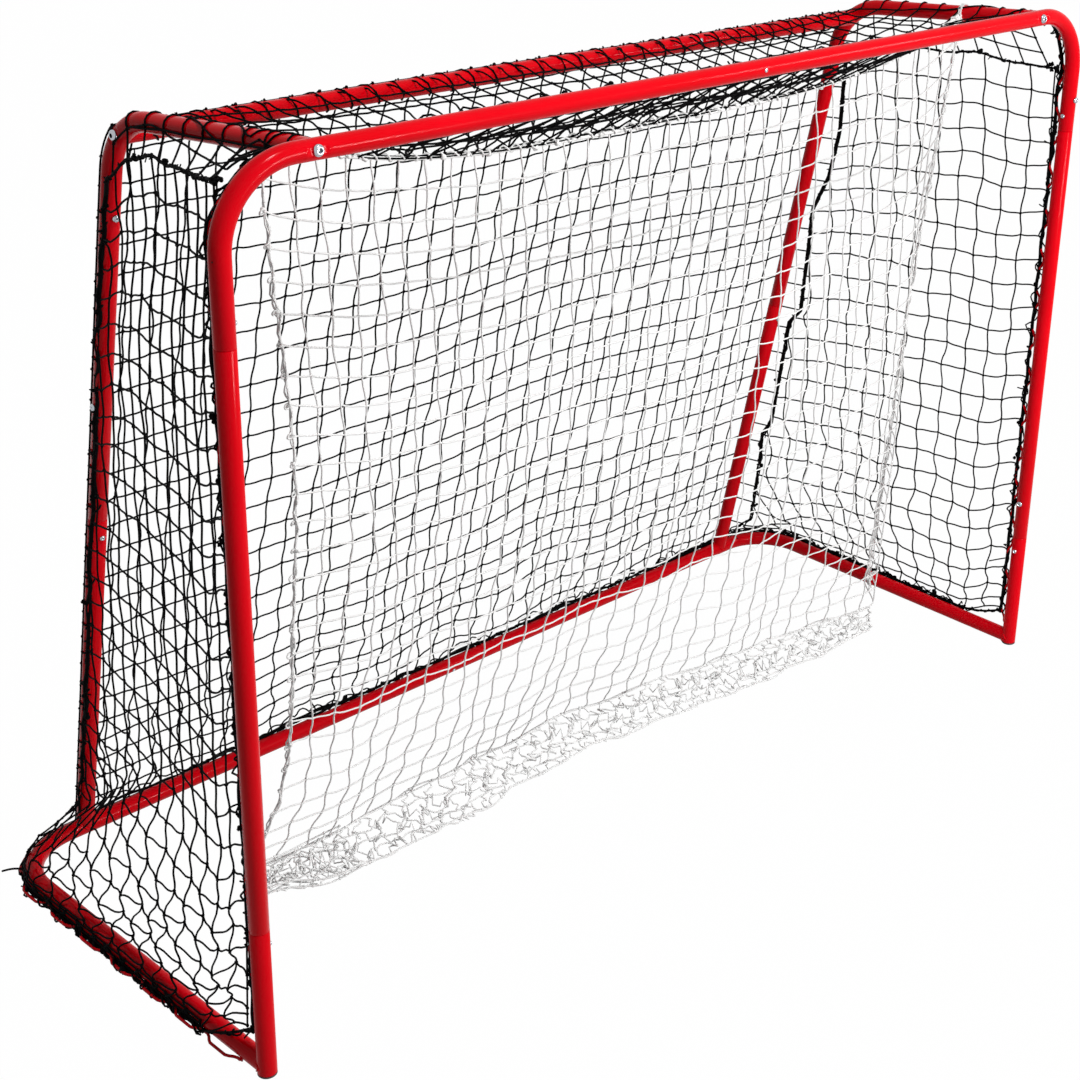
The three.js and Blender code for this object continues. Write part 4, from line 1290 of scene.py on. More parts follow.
@dataclass
class CordLines:
    """Lines of cord gathered for one piece, with their radii and knots."""

    seed: int
    points: list[Array] = field(default_factory=list)
    edges: list[tuple[int, int]] = field(default_factory=list)
    radii: list[Array] = field(default_factory=list)
    knot_radii: list[Array] = field(default_factory=list)
    turns: list[Array] = field(default_factory=list)
    count: int = 0
    curl: ClassVar[float] = 0.32
    slack: ClassVar[float] = 0.3
    steps_per_turn: ClassVar[int] = 9

    def __post_init__(self) -> None:
        """Starts the piece's own chain of chance, which is the same on each run."""
        self.rng = np.random.default_rng(self.seed)

    def _append(self, points: Array, radii: Array, knots: Array, turns: Array) -> int:
        """Adds points with their values and returns the first one's number.

        Args:
            points: The points.
            radii: Radius of the cord at each, or 0 for none.
            knots: Radius of the knot at each, or 0 for none.
            turns: Angles that each knot is turned by.

        Returns:
            Number of the first point.
        """
        start = self.count
        self.points.append(points)
        self.radii.append(radii)
        self.knot_radii.append(knots)
        self.turns.append(turns)
        self.count += len(points)
        return start

    def line(self, points: Array, radius: float | Array, closed: bool = False) -> None:
        """Adds one cord through points.

        Args:
            points: The points in order.
            radius: Radius of the cord, or one for each point.
            closed: True where the last point joins the first.
        """
        size = len(points)
        radii = np.broadcast_to(np.asarray(radius, float), size)
        points = np.array(points, float)
        points[:, 2] = np.maximum(points[:, 2], radii)
        start = self._append(points, radii, np.zeros(size), np.zeros((size, 3)))
        self.edges.extend((start + i, start + i + 1) for i in range(size - 1))
        if closed:
            self.edges.append((start + size - 1, start))

    def rippled(self, points: Array, radius: float, closed: bool) -> None:
        """Adds a weld bead, whose radius swells a little at each step of the weld.

        Args:
            points: The points in order.
            radius: Mean radius of the bead.
            closed: True where the last point joins the first.
        """
        place = np.arange(len(points))
        swell = 1 + 0.16 * np.sin(place * 2.1) + 0.05 * self.rng.standard_normal(len(points))
        self.line(points, radius * swell, closed)

    def knots(self, points: Array, radius: float, spread: float = 0.12) -> None:
        """Adds a knot on each point, each turned its own way.

        Args:
            points: Middles of the knots.
            radius: Radius of a knot.
            spread: How far the sizes stray, as a share.
        """
        size = len(points)
        radii = radius * (1 + spread * self.rng.uniform(-1, 1, size))
        self._append(points, np.zeros(size), radii, self.rng.uniform(-math.pi, math.pi, (size, 3)))

    def net(self, surface: Surface, us: Array, vs: Array, cord_r: float, knot_r: float, stray: float,
            zigzag: float, sway: float, sag: float, loose: Callable[[Array, Array], Array] | None = None,
            parts: int = 6) -> None:
        """Adds a knotted net laid on a surface.

        Args:
            surface: Gives the points at two arrays of shares.
            us: Shares of the upright cords across the net.
            vs: Shares of the level cords up the net.
            cord_r: Radius of the cord.
            knot_r: Radius of a knot.
            stray: How far a knot strays, as a share of a mesh.
            zigzag: How far knots step to alternate sides, as a share of a mesh.
            sway: How far a cord bends between knots, as a share of a mesh.
            sag: Drop of a level cord between knots.
            loose: Gives how free the net is at two arrays of shares, or None for free all over.
            parts: Pieces of each cord between knots.
        """
        free = loose or (lambda u, v: np.ones_like(u))
        grid_u, grid_v = np.meshgrid(us, vs)
        step_u = np.gradient(us)[None, :] * np.ones_like(grid_u)
        step_v = np.gradient(vs)[:, None] * np.ones_like(grid_v)
        inner = np.ones_like(grid_u)
        inner[:, 0] = inner[:, -1] = 0.0
        level_inner = np.ones_like(grid_v)
        level_inner[0, :] = level_inner[-1, :] = 0.0
        odd = np.where((np.add.outer(np.arange(len(vs)), np.arange(len(us))) % 2) == 0, 1.0, -1.0)
        loose_here = free(grid_u, grid_v)
        noise = soft_noise(self.rng, (2, *grid_u.shape))
        knot_u = grid_u + step_u * inner * loose_here * (stray * noise[0] + zigzag * odd)
        knot_v = grid_v + step_v * level_inner * loose_here * (stray * noise[1] - zigzag * odd)
        share = np.arange(parts) / parts
        for along_rows in (True, False):
            ku, kv, odd_here = (knot_u, knot_v, odd) if along_rows else (knot_u.T, knot_v.T, odd.T)
            across_step = step_v if along_rows else step_u.T
            edge_free = level_inner if along_rows else inner.T
            a_u, b_u, a_v, b_v = ku[:, :-1, None], ku[:, 1:, None], kv[:, :-1, None], kv[:, 1:, None]
            slack = self.rng.uniform(-self.slack, self.slack, (*ku[:, :-1].shape, 1))
            curl = (np.sin(2 * math.pi * share) * odd_here[:, :-1, None] * self.curl
                    + np.sin(math.pi * share) * slack)
            shift = sway * curl * across_step[:, :-1, None] * edge_free[:, :-1, None]
            u, v = mix(a_u, b_u, share), mix(a_v, b_v, share)
            hold = free(u, v)
            u, v = (u, v + shift * hold) if along_rows else (u + shift * hold, v)
            u = np.concatenate([u.reshape(len(ku), -1), ku[:, -1:]], axis=1)
            v = np.concatenate([v.reshape(len(kv), -1), kv[:, -1:]], axis=1)
            points = surface(np.clip(u, 0, 1), np.clip(v, 0, 1))
            if along_rows:
                drop = np.concatenate([np.tile(4 * share * (1 - share), ku.shape[1] - 1), [0.0]])
                uneven = 0.6 + 0.8 * self.rng.random(points.shape[:2]) * 0.3
                points[..., 2] -= sag * drop * free(u, v) * uneven
            for row in points:
                self.line(row, cord_r)
        self.knots(surface(knot_u, knot_v).reshape(-1, 3), knot_r)

    def lacing(self, line: Array, radius: float, turn_length: float, cord_r: float, ragged: float = 0.25,
               phase: float = 0.0) -> None:
        """Adds a cord that winds round a line, unevenly as a hand laces it.

        Args:
            line: Points of the middle line.
            radius: Distance of the cord from the line.
            turn_length: Length of one turn.
            cord_r: Radius of the cord.
            ragged: How uneven the winding is, as a share of its radius.
            phase: Angle that the winding starts at.
        """
        points, headings, walked = resampled(line, turn_length / self.steps_per_turn)
        across, above = side_frames(headings)
        noise = running_noise(self.rng, len(points))
        reach = radius * (1 + ragged * 2.2 * noise)
        angle = phase + 2 * math.pi * walked / turn_length + 0.9 * noise
        self.line(points + across * (reach * np.cos(angle))[:, None]
                  + above * (reach * np.sin(angle))[:, None], cord_r)

    def whiskers(self, line: Array, spacing: float, length: float, cord_r: float) -> None:
        """Adds the cut ends of mesh that stick out of a seam.

        Args:
            line: Points of the seam.
            spacing: Distance between the ends.
            length: Longest end.
            cord_r: Radius of the cord.
        """
        points, headings, _ = resampled(line, spacing)
        for point, heading in zip(points, headings):
            way = unit(self.rng.standard_normal(3) + vec(0, 0, 0.3))
            way = unit(way - heading * float(way @ heading) * 0.7)
            bend = 0.35 * self.rng.standard_normal(3)
            reach = length * self.rng.uniform(0.35, 1.0)
            steps = np.linspace(0, 1, 4)[:, None]
            self.line(point + way * reach * steps + bend * reach * steps ** 2, cord_r * 0.85)

    def to_piece(self, maker: Maker, name: str, material: bpy.types.Material, sides: int = 6,
                 knot_turns: float = 1.6) -> bpy.types.Object:
        """Runs the cord tree on the gathered lines.

        Args:
            maker: Runs the node trees.
            name: Name of the piece.
            material: The cord's finish.
            sides: Sides of the cord.
            knot_turns: Turns of cord in a knot.

        Returns:
            The finished piece.
        """
        values = {"cord_r": np.concatenate(self.radii), "knot_r": np.concatenate(self.knot_radii),
                  "knot_turn": np.concatenate(self.turns)}
        carrier = maker.carrier(name, np.concatenate(self.points), self.edges, values)
        ids = maker.cord_ids
        return maker.run(carrier, maker.cord, {
            ids["Sides"]: sides, ids["Knot Turns"]: knot_turns, ids["Finish"]: material})


def resampled(line: Array, spacing: float) -> tuple[Array, Array, Array]:
    """Evenly spaced points along a line.

    Args:
        line: Points of the line.
        spacing: Distance wanted between points.

    Returns:
        The points, their headings and their distances from the start.
    """
    gaps = np.linalg.norm(np.diff(line, axis=0), axis=1)
    walked = np.concatenate([[0.0], np.cumsum(gaps)])
    count = max(2, int(round(walked[-1] / spacing)) + 1)
    at = np.linspace(0, walked[-1], count)
    points = np.stack([np.interp(at, walked, line[:, k]) for k in range(3)], axis=1)
    headings = unit(np.gradient(points, axis=0))
    return points, headings, at


def side_frames(headings: Array) -> tuple[Array, Array]:
    """Two directions square to each heading, which turn as little as they can.

    Args:
        headings: Directions of a line.

    Returns:
        The two directions at each point.
    """
    across = np.zeros_like(headings)
    last = square_to(headings[0])
    for i, heading in enumerate(headings):
        last = unit(last - heading * float(last @ heading))
        across[i] = last
    return across, np.cross(headings, across)


# The welded net wires


def corner_run(corner: Array, into: Array, out: Array, bend_r: float, lead: float, distance: Array,
               ) -> tuple[Array, Array]:
    """Points of a straight, a quarter bend and a second straight in one plane.

    Args:
        corner: Corner that the bend rounds off.
        into: The way the first straight runs.
        out: The way the second straight runs.
        bend_r: Radius of the bend.
        lead: Length of the first straight.
        distance: Distances walked.

    Returns:
        The points, and the angle turned at each.
    """
    arc = bend_r * math.pi / 2
    turn = np.clip((distance - lead) / bend_r, 0, math.pi / 2)
    before = np.minimum(distance - lead, 0.0)
    after = np.maximum(distance - lead - arc, 0.0)
    points = (corner - into * bend_r + out * bend_r
              + np.outer(np.sin(turn), into * bend_r) - np.outer(np.cos(turn), out * bend_r)
              + np.outer(before, into) + np.outer(after, out))
    return points, turn


@dataclass
class NetWires(Builder):
    """Red wires bent in shallow loops and welded to the tubes, which the nets are laced to."""

    steps_per_loop: int = 14

    @property
    def close(self) -> float:
        """Distance from a tube's middle to a wire that touches it."""
        return SIZES.tube_r + SIZES.fit_gap + SIZES.wire_r

    def _swing(self, length: float) -> tuple[Array, Array, Array]:
        """Distances along a wire, its swing there and the distances where it is welded.

        Args:
            length: Length of the run.

        Returns:
            The distances, how far the wire stands out at each from 0 to 1, and the welds' distances.
        """
        loops = max(1, round(length / SIZES.wire_loop_pitch))
        count = loops * self.steps_per_loop
        distance = np.linspace(0, length, count + 1)
        share = (np.arange(count + 1) % self.steps_per_loop) / self.steps_per_loop
        swing = rise(np.minimum(share, 1 - share), 0.06, 0.30)
        return distance, swing, np.linspace(0, length, loops + 1)

    def _wire(self, name: str, places: Callable[[Array], tuple[Array, Array]], length: float, close: float,
              node: str) -> tuple[Array, Array]:
        """Makes one wire and returns the places and directions of its tacks.

        Args:
            name: Name of the piece.
            places: Gives middle-line points and away directions for distances.
            length: Length of the run.
            close: Distance of the wire from the middle line where it touches.
            node: CAD node that it replaces.

        Returns:
            Places and directions of the tack welds.
        """
        distance, swing, tacks = self._swing(length)
        points, away = places(distance)
        cords = CordLines(seed=5)
        cords.line(points + away * (close + SIZES.wire_loop_reach * swing)[:, None], SIZES.wire_r)
        self.keep_cords(cords, name, [node], sides=10)
        middle, facing = places(tacks)
        return middle + facing * (close - SIZES.wire_r * 0.75), facing

    def base_places(self, distance: Array) -> tuple[Array, Array]:
        """Points and away directions round the floor frame, low on the outside.

        Args:
            distance: Distances from the left front end.

        Returns:
            The points and the directions.
        """
        half = self.base_length / 2
        points, away = np.zeros((len(distance), 3)), np.zeros((len(distance), 3))
        for side in Side:
            mine = (distance <= half) if side is Side.LEFT else (distance > half)
            walked = distance[mine] if side is Side.LEFT else 2 * half - distance[mine]
            corner = vec(side.value * SIZES.post_x, SIZES.base_depth, SIZES.tube_r)
            run, turn = corner_run(corner, BACK, -side.value * ACROSS, SIZES.base_bend_r,
                                   self.base_side_run, walked)
            points[mine] = run - vec(0, 0, SIZES.tube_r - SIZES.base_wire_z)
            away[mine] = np.stack([side.value * np.cos(turn), np.sin(turn), np.zeros_like(turn)], axis=1)
        return points, away

    @property
    def base_side_run(self) -> float:
        """Straight length of the floor frame's wire along one side."""
        return SIZES.base_depth - SIZES.base_bend_r - SIZES.wire_end_clear - 2 * SIZES.tube_r

    @property
    def base_length(self) -> float:
        """Length of the wire round the floor frame."""
        quarter = SIZES.base_bend_r * math.pi / 2
        return 2 * (self.base_side_run + quarter + SIZES.post_x - SIZES.base_bend_r)

    def build(self) -> None:
        """Builds the wires and their tack welds."""
        facing_back = lambda d: np.tile(BACK, (len(d), 1))
        straight = lambda start, way: lambda d: (start + np.outer(d, way), facing_back(d))
        clear = SIZES.wire_end_clear
        bar_x = SIZES.hoop_x - SIZES.tube_r - clear
        along_bar = straight(vec(-bar_x, 0, SIZES.bar_z), ACROSS)
        made = [self._wire("crossbar_wire", along_bar, 2 * bar_x, self.close, "crossbar_net_wire")]
        drop = SIZES.tube_r - SIZES.base_wire_z
        base_close = math.sqrt(self.close ** 2 - drop ** 2)
        made.append(self._wire("floor_frame_wire", self.base_places, self.base_length, base_close,
                               "base_net_wire"))
        for side in Side:
            x, label = side.value * SIZES.post_x, side.label
            lead = SIZES.corner_leg - clear
            corner = lambda d, x=x, s=side.value: (
                corner_run(vec(x, 0, SIZES.bar_z), UP, -s * ACROSS, SIZES.corner_bend_r, lead, d)[0],
                facing_back(d))
            made.append(self._wire(f"corner_wire_{label}", corner, lead + SIZES.corner_bend_r * math.pi / 2,
                                   self.close, f"corner_net_wire_{label}"))
            runs = (("post", SIZES.low_joint_z + clear, SIZES.high_joint_z - clear),
                    ("foot", 2 * SIZES.tube_r + clear, SIZES.low_joint_z - clear))
            for part, start, end in runs:
                made.append(self._wire(f"{part}_wire_{label}", straight(vec(x, 0, start), UP), end - start,
                                       self.close, f"{part}_net_wire_{label}"))
        self._tacks(np.concatenate([m[0] for m in made]), np.concatenate([m[1] for m in made]))

    def _tacks(self, places: Array, facing: Array) -> None:
        """Small mounds of weld where each loop touches its tube.

        Args:
            places: Middles of the welds.
            facing: The way that each one faces.
        """
        profile = [(0.0001, -0.0012), (0.0026, -0.0010), (0.0036, -0.0002), (0.0031, 0.0007),
                   (0.0017, 0.0013), (0.0002, 0.0015)]
        points, faces = lathe(profile, vec(0, -FRONT, 0), UP, 10)
        mound = Shell([points], faces).to_object("tack_master")
        self.scatter("wire_tacks", mound, {"facing": facing, "size": np.ones(len(places))}, places, 2)


# Bolts, screws and rivets


@dataclass(frozen=True)
class Fastener:
    """One bolt, screw or rivet: where its head sits, the way it faces, its size and its CAD node."""

    seat: Array
    facing: Array
    size: float
    node: str


@dataclass
class Fasteners(Builder):
    """Bolts with a hexagon socket, screws with a cross recess, and blind rivets."""

    slot: ClassVar[Slot] = Slot.ZINC
    sides: int = 48
    net_screw_size: float = 10.0 / 7.5
    post_screw_above: float = 0.0685
    front_screw_above: float = 0.053
    hoop_screw_above: float = 0.177
    bend_screw_below: float = 0.056

    def _rings(self, rings: Sequence[tuple[Callable[[Array], Array], float]], name: str) -> bpy.types.Object:
        """A head made of rings whose radius may change round the ring.

        Args:
            rings: Pairs of a radius rule and a height, from the bottom of the recess round to the shank.
            name: Name of the object.

        Returns:
            The head, standing on the origin.
        """
        angle = np.arange(self.sides) * (2 * math.pi / self.sides)
        points = np.concatenate([np.stack([
            rule(angle) * np.cos(angle), rule(angle) * np.sin(angle), np.full(self.sides, height)], axis=1)
            for rule, height in rings])
        shell = Shell([points - vec(0, FRONT, 0)], ring_faces(len(rings), self.sides))
        head = shell.to_object(name)
        head.data.set_sharp_from_angle(angle=math.radians(38))
        return head

    @staticmethod
    def _round(radius: float) -> Callable[[Array], Array]:
        """A plain round ring."""
        return lambda angle: np.full_like(angle, radius)

    @staticmethod
    def _hexagon(across: float) -> Callable[[Array], Array]:
        """A six-sided ring of a width across its flats."""
        return lambda angle: (across / 2) / np.cos((angle + math.pi / 6) % (math.pi / 3) - math.pi / 6)

    @staticmethod
    def _cross(arm: float, half_width: float) -> Callable[[Array], Array]:
        """A ring in the shape of a cross.

        Args:
            arm: Reach of its arms.
            half_width: Half the width of an arm.

        Returns:
            The radius at each angle.
        """
        def radius(angle: Array) -> Array:
            """Radius of the cross.

            Args:
                angle: Angles round the ring.

            Returns:
                The radius at each.
            """
            turned = (angle + math.pi / 4) % (math.pi / 2) - math.pi / 4
            flank = half_width / np.maximum(np.abs(np.sin(turned)), 1e-6)
            return np.minimum(arm, flank).clip(half_width * 1.2)
        return radius

    def _turned(self, *pairs: tuple[float, float]) -> list[tuple[Callable[[Array], Array], float]]:
        """Plain round rings from pairs of a radius and a height."""
        return [(self._round(radius), height) for radius, height in pairs]

    def bolt_head(self) -> bpy.types.Object:
        """Domed head with a hexagon socket, on the start of its shank.

        Returns:
            The head.
        """
        socket = [(self._hexagon(0.0052), 0.0006), (self._hexagon(0.0056), 0.0009),
                  (self._hexagon(0.0056), 0.0041)]
        dome = self._turned((0.0034, 0.00436), (0.0039, 0.0044), (0.0047, 0.0041), (0.0058, 0.0033),
                            (0.0066, 0.0022), (0.0070, 0.0011), (0.0070, 0.0003), (0.0068, 0.0))
        return self._rings(socket + dome + self._turned((0.0040, 0.0), (0.0040, -0.018)), "bolt_master")

    def screw_head(self) -> bpy.types.Object:
        """Pan head with a cross recess, on its shank.

        Returns:
            The head.
        """
        recess = [(self._cross(0.0009, 0.0004), 0.0009), (self._cross(0.0017, 0.00045), 0.0022)]
        pan = self._turned((0.0020, 0.0026), (0.0027, 0.00245), (0.0033, 0.0019), (0.00365, 0.0011),
                           (0.00375, 0.0004), (0.0036, 0.0))
        return self._rings(recess + pan + self._turned((0.0020, 0.0), (0.0020, -0.011)), "screw_master")

    def rivet_head(self) -> bpy.types.Object:
        """Low dome with the hole that the broken mandrel leaves.

        Returns:
            The head.
        """
        rings = self._turned((0.0006, 0.0004), (0.0008, 0.0010), (0.0010, 0.0012), (0.0018, 0.00112),
                             (0.0026, 0.0007), (0.0030, 0.0002), (0.0029, 0.0), (0.0016, 0.0),
                             (0.0016, -0.004))
        return self._rings(rings, "rivet_master")

    def _skin(self, centre: Array, facing: Array, size: float, node: str, sink: float = 0.0) -> Fastener:
        """A fastener whose head sits on a tube's skin.

        Args:
            centre: Middle of the tube.
            facing: The way that the head faces.
            size: Size of the head, as a share of its master.
            node: CAD node that it replaces.
            sink: Depth of a pressed seat.

        Returns:
            The fastener.
        """
        return Fastener(centre + facing * (SIZES.tube_r + SIZES.fit_gap * 0.3 - sink), facing, size, node)

    def bolts(self) -> list[Fastener]:
        """Two bolts through the crossbar and two through the hoop bends.

        Returns:
            The bolts.
        """
        found = []
        sink = SIZES.bolt_seat_sink
        for side in Side:
            x = side.value * SIZES.hoop_x
            found += [
                self._skin(vec(x, 0, SIZES.bar_z), -SIZES.rail_dir, 1.0, f"crossbar_bolt_{side.label}", sink),
                self._skin(SIZES.top_bar + vec(x, 0, 0), side.value * ACROSS, 1.0,
                           f"rear_bar_bolt_{side.label}", sink),
            ]
        return found

    def screws(self) -> list[Fastener]:
        """Joint screws, net screws and the one on the right post's front.

        Returns:
            The screws.
        """
        found = []
        small, large = 1.0, self.net_screw_size
        front = -SIZES.upright_back
        joint, high, low = SIZES.rear_joint, SIZES.high_joint_z, SIZES.low_joint_z
        for side in Side:
            x, label, inner = side.value * SIZES.post_x, side.label, -side.value * ACROSS
            hoop = vec(side.value * SIZES.hoop_x, 0, 0)
            on_hoop = lambda distance: SIZES.hoop_at(distance)[0][0] + hoop
            set_back = SIZES.joint_screw_setback
            below_bend = on_hoop(SIZES.upright_straight - self.bend_screw_below)
            above_joint = on_hoop(joint + self.hoop_screw_above)
            found += [
                self._skin(vec(x, 0, high + set_back), inner, small, f"post_high_screw_{label}"),
                self._skin(vec(x, 0, low - set_back), inner, small, f"post_low_screw_{label}"),
                self._skin(vec(x, 0, low + self.post_screw_above), inner, large, f"post_net_screw_{label}"),
                self._skin(on_hoop(joint - set_back), front, small, f"rear_post_screw_{label}"),
                self._skin(below_bend, front, large, f"hoop_front_screw_{label}"),
                self._skin(above_joint, -inner, large, f"hoop_outer_screw_{label}"),
            ]
        found.append(self._skin(vec(SIZES.post_x, 0, high + self.front_screw_above), -BACK, large,
                                "post_front_screw_right"))
        return found

    def rivets(self) -> list[Fastener]:
        """One blind rivet in each long cross tube.

        Returns:
            The rivets.
        """
        leaned = lambda degrees: vec(0, -math.cos(math.radians(degrees)), math.sin(math.radians(degrees)))
        return [
            self._skin(vec(0.0296, 0, SIZES.bar_z), -BACK, 1.0, "crossbar_rivet"),
            self._skin(vec(0.002, SIZES.base_depth, SIZES.tube_r), leaned(-20), 1.0, "base_rivet"),
            self._skin(SIZES.top_bar + vec(0.305, 0, 0), leaned(25), 1.0, "rear_top_bar_rivet"),
        ]

    def _set(self, name: str, head: bpy.types.Object, places: Sequence[Fastener], seed: int) -> None:
        """Sets one head on each place and keeps the result as one piece.

        Args:
            name: Name of the piece.
            head: The head to copy.
            places: The fasteners.
            seed: Chooses how each head is turned.
        """
        values = {"facing": np.array([p.facing for p in places]), "size": np.array([p.size for p in places])}
        seats = np.array([p.seat for p in places])
        self.scatter(name, head, values, seats, seed, [p.node for p in places])

    def build(self) -> None:
        """Builds every fastener, and finishes the inserts that stay hidden in the tubes."""
        self._set("socket_bolts", self.bolt_head(), self.bolts(), 3)
        self._set("pan_screws", self.screw_head(), self.screws(), 6)
        self._set("blind_rivets", self.rivet_head(), self.rivets(), 9)
        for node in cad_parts:
            if "insert" in node:
                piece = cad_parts[node]
                piece.data.materials.clear()
                piece.data.materials.append(self.finishes.of[Slot.STEEL])


# The nets


def waves(seed: int, share: Array, slow: float, fast: float, count: int = 4) -> Array:
    """Smooth noise along one coordinate, about -1 to 1.

    Args:
        seed: Chooses the noise.
        share: The coordinate.
        slow: Fewest waves in one unit.
        fast: Most waves in one unit.
        count: Waves added up.

    Returns:
        The noise at each place.
    """
    rng = np.random.default_rng(seed)
    total = np.zeros(np.shape(share))
    for _ in range(count):
        total += np.sin(2 * math.pi * rng.uniform(slow, fast) * share + rng.uniform(0, 2 * math.pi))
    return total / math.sqrt(count)


def polyline_at(line: Array, share: Array) -> Array:
    """Points at shares of the length of a polyline, one polyline for each row.

    Args:
        line: Polylines, as rows of points.
        share: One share of the length for each row.

    Returns:
        One point for each row.
    """
    gaps = np.linalg.norm(np.diff(line, axis=1), axis=2)
    walked = np.concatenate([np.zeros((len(line), 1)), np.cumsum(gaps, axis=1)], axis=1)
    at = share * walked[:, -1]
    low = np.clip((walked <= at[:, None]).sum(axis=1) - 1, 0, line.shape[1] - 2)
    rows = np.arange(len(line))
    part = (at - walked[rows, low]) / np.maximum(walked[rows, low + 1] - walked[rows, low], 1e-9)
    return line[rows, low] + (line[rows, low + 1] - line[rows, low]) * np.clip(part, 0, 1)[:, None]


def shares_of(steps: Array) -> Array:
    """Shares from 0 to 1 at the ends of steps of given sizes."""
    walked = np.concatenate([[0.0], np.cumsum(steps)])
    return walked / walked[-1]


@dataclass(frozen=True)
class NetSizes:
    """Places of the nets in metres from the mouth, as the photograph shows them."""

    front_y: float = 0.0235
    rope_rear_y: float = 0.385
    top_front_y: float = 0.0262
    corner_reach: float = 0.1127
    back_half: float = 0.6995
    rail_inner_x: float = 0.672
    belly_depth: float = 0.078
    belly_half: float = 0.675
    belly_power: float = 3.7
    wrap_gap: float = 0.0016
    face_gap: float = 0.0019
    floor_tie_y: float = 0.321

    @property
    def rope_run(self) -> float:
        """Length of the top seam ropes, seen from above."""
        return self.rope_rear_y - self.front_y

    @property
    def wrap_r(self) -> float:
        """Distance from a tube's middle to a cord that is wrapped round it."""
        return SIZES.tube_r + self.wrap_gap

    def belly(self, x: Array) -> Array:
        """How far the top net hangs down at places across it."""
        return self.belly_depth * (1 - np.abs(x / self.belly_half) ** self.belly_power)


NET = NetSizes()


@dataclass
class BlackNet(Builder):
    """The black net on the back, top and sides, with its ropes, seams and lacing."""

    slot: ClassVar[Slot] = Slot.BLACK
    wires: NetWires
    mesh: float = 0.042
    cord_r: float = 0.00135
    knot_r: float = 0.0024
    rope_r: dict[Side, float] = field(default_factory=lambda: {Side.LEFT: 0.0030, Side.RIGHT: 0.0014})
    foot_length: float = 0.651
    rope_z: dict[Side, tuple[float, ...]] = field(default_factory=lambda: {
        Side.LEFT: (1.139, 1.128, 1.118, 1.111, 1.104, 1.088, 1.051),
        Side.RIGHT: (1.068, 1.066, 1.075, 1.071, 1.069, 1.062, 1.040)})
    seam_ahead: dict[Side, tuple[tuple[float, ...], tuple[float, ...]]] = field(default_factory=lambda: {
        Side.LEFT: ((0.0, 0.1, 0.2, 0.3, 0.4, 0.5, 0.6, 0.7, 0.8, 0.88, 0.95, 1.0, 1.06),
                    (0.001, 0.002, 0.005, 0.007, 0.004, 0.003, 0.006, 0.005, 0.001, 0.002, 0.004, 0.004,
                     0.010)),
        Side.RIGHT: ((0.0, 0.05, 0.094, 0.112, 0.21, 0.28, 0.31, 0.40, 0.52, 0.55, 0.635, 0.744, 0.813,
                      0.90, 1.03),
                     (0.006, 0.010, 0.050, 0.047, 0.039, 0.027, 0.042, 0.037, 0.028, 0.048, 0.036, 0.021,
                      0.039, 0.038, 0.015))})
    skirt_lead: dict[Side, float] = field(default_factory=lambda: {Side.LEFT: 0.20, Side.RIGHT: -0.07})
    corner_turn: tuple[float, float] = (41.5, 86.0)
    flare_z: tuple[float, float] = (0.27, 0.075)
    flare_foot_z: float = 0.028
    bunch_angle: dict[Side, float] = field(default_factory=lambda: {Side.LEFT: -30.0, Side.RIGHT: 46.0})
    bunch_rear_angle: float = 52.0
    bunch_rear_bulk: float = 0.40
    top_rear_rise: float = 0.0145
    top_rail_rise: float = 0.006
    top_bar_lift: float = 0.004
    top_fold_power: float = 0.86
    back_gap: float = 0.0138
    back_drape: float = 0.012
    back_wrinkle: float = 0.006
    bunch_ends: float = 0.078

    # Back net

    @property
    def back_length(self) -> float:
        """Length of the back net up the uprights and half round the bends."""
        return SIZES.upright_straight + SIZES.hoop_arc * 0.5

    def back_at(self, u: Array, v: Array) -> Array:
        """Points of the back net, from the left upright to the right and from the floor tube up.

        Args:
            u: Shares across the net.
            v: Shares up the net.

        Returns:
            The points.
        """
        middle, outward = SIZES.hoop_at((v * self.back_length).ravel())
        drape = np.sin(math.pi * np.clip(u, 0, 1)) * (1 - np.abs(2 * v - 1) ** 3)
        wrinkle = waves(21, u + 0.3 * v, 1.5, 6.0) * np.clip(1 - v * 2.2, 0, 1) * np.sin(math.pi * u)
        out = self.back_gap + self.back_drape * drape + self.back_wrinkle * wrinkle
        points = middle + outward * out.ravel()[:, None]
        points[:, 0] = mix(-NET.back_half, NET.back_half, u).ravel()
        sway = 0.010 * drape * waves(23, u, 0.5, 2.0)
        points[:, 2] += (self.back_wrinkle * wrinkle * (1 - v) - sway).ravel()
        return points.reshape(*np.shape(u), 3)

    @staticmethod
    def _back_hold(_u: Array, v: Array) -> Array:
        """How free the back net is: loosest at the floor tube, tight round the rear bar."""
        return (0.42 + 0.5 * ramp(v, 0.30, 0.0)) * (1 - 0.6 * rise(v, 0.955, 0.985))

    def back(self) -> None:
        """The back net with its selvage along the floor tube."""
        cords = CordLines(seed=31)
        tight = np.full(5, 0.80)
        plain = np.ones(max(1, int(self.back_length / self.mesh - tight.sum())))
        rows = shares_of(np.concatenate([tight, plain]))
        cords.net(self.back_at, np.linspace(0, 1, 34), rows, self.cord_r, self.knot_r, stray=0.10,
                  zigzag=0.07, sway=0.16, sag=0.0010, loose=self._back_hold, parts=5)
        run = np.linspace(0, 1, 260)
        edge = self.back_at(run, np.full_like(run, 0.004))
        wander = [0 * run, 0.0012 * waves(33, run, 6, 20), 0.0018 * waves(34, run, 6, 22)]
        cords.line(edge + np.stack(wander, axis=1), 0.0022)
        low = self.back_at(run, np.full_like(run, 0.012) + 0.004 * waves(35, run, 5, 12))
        cords.lacing(low, 0.0028, turn_length=0.030, cord_r=self.cord_r, ragged=0.5)
        self.keep_cords(cords, "back_net_cord", ["back_net"], sides=5)

    # Top net

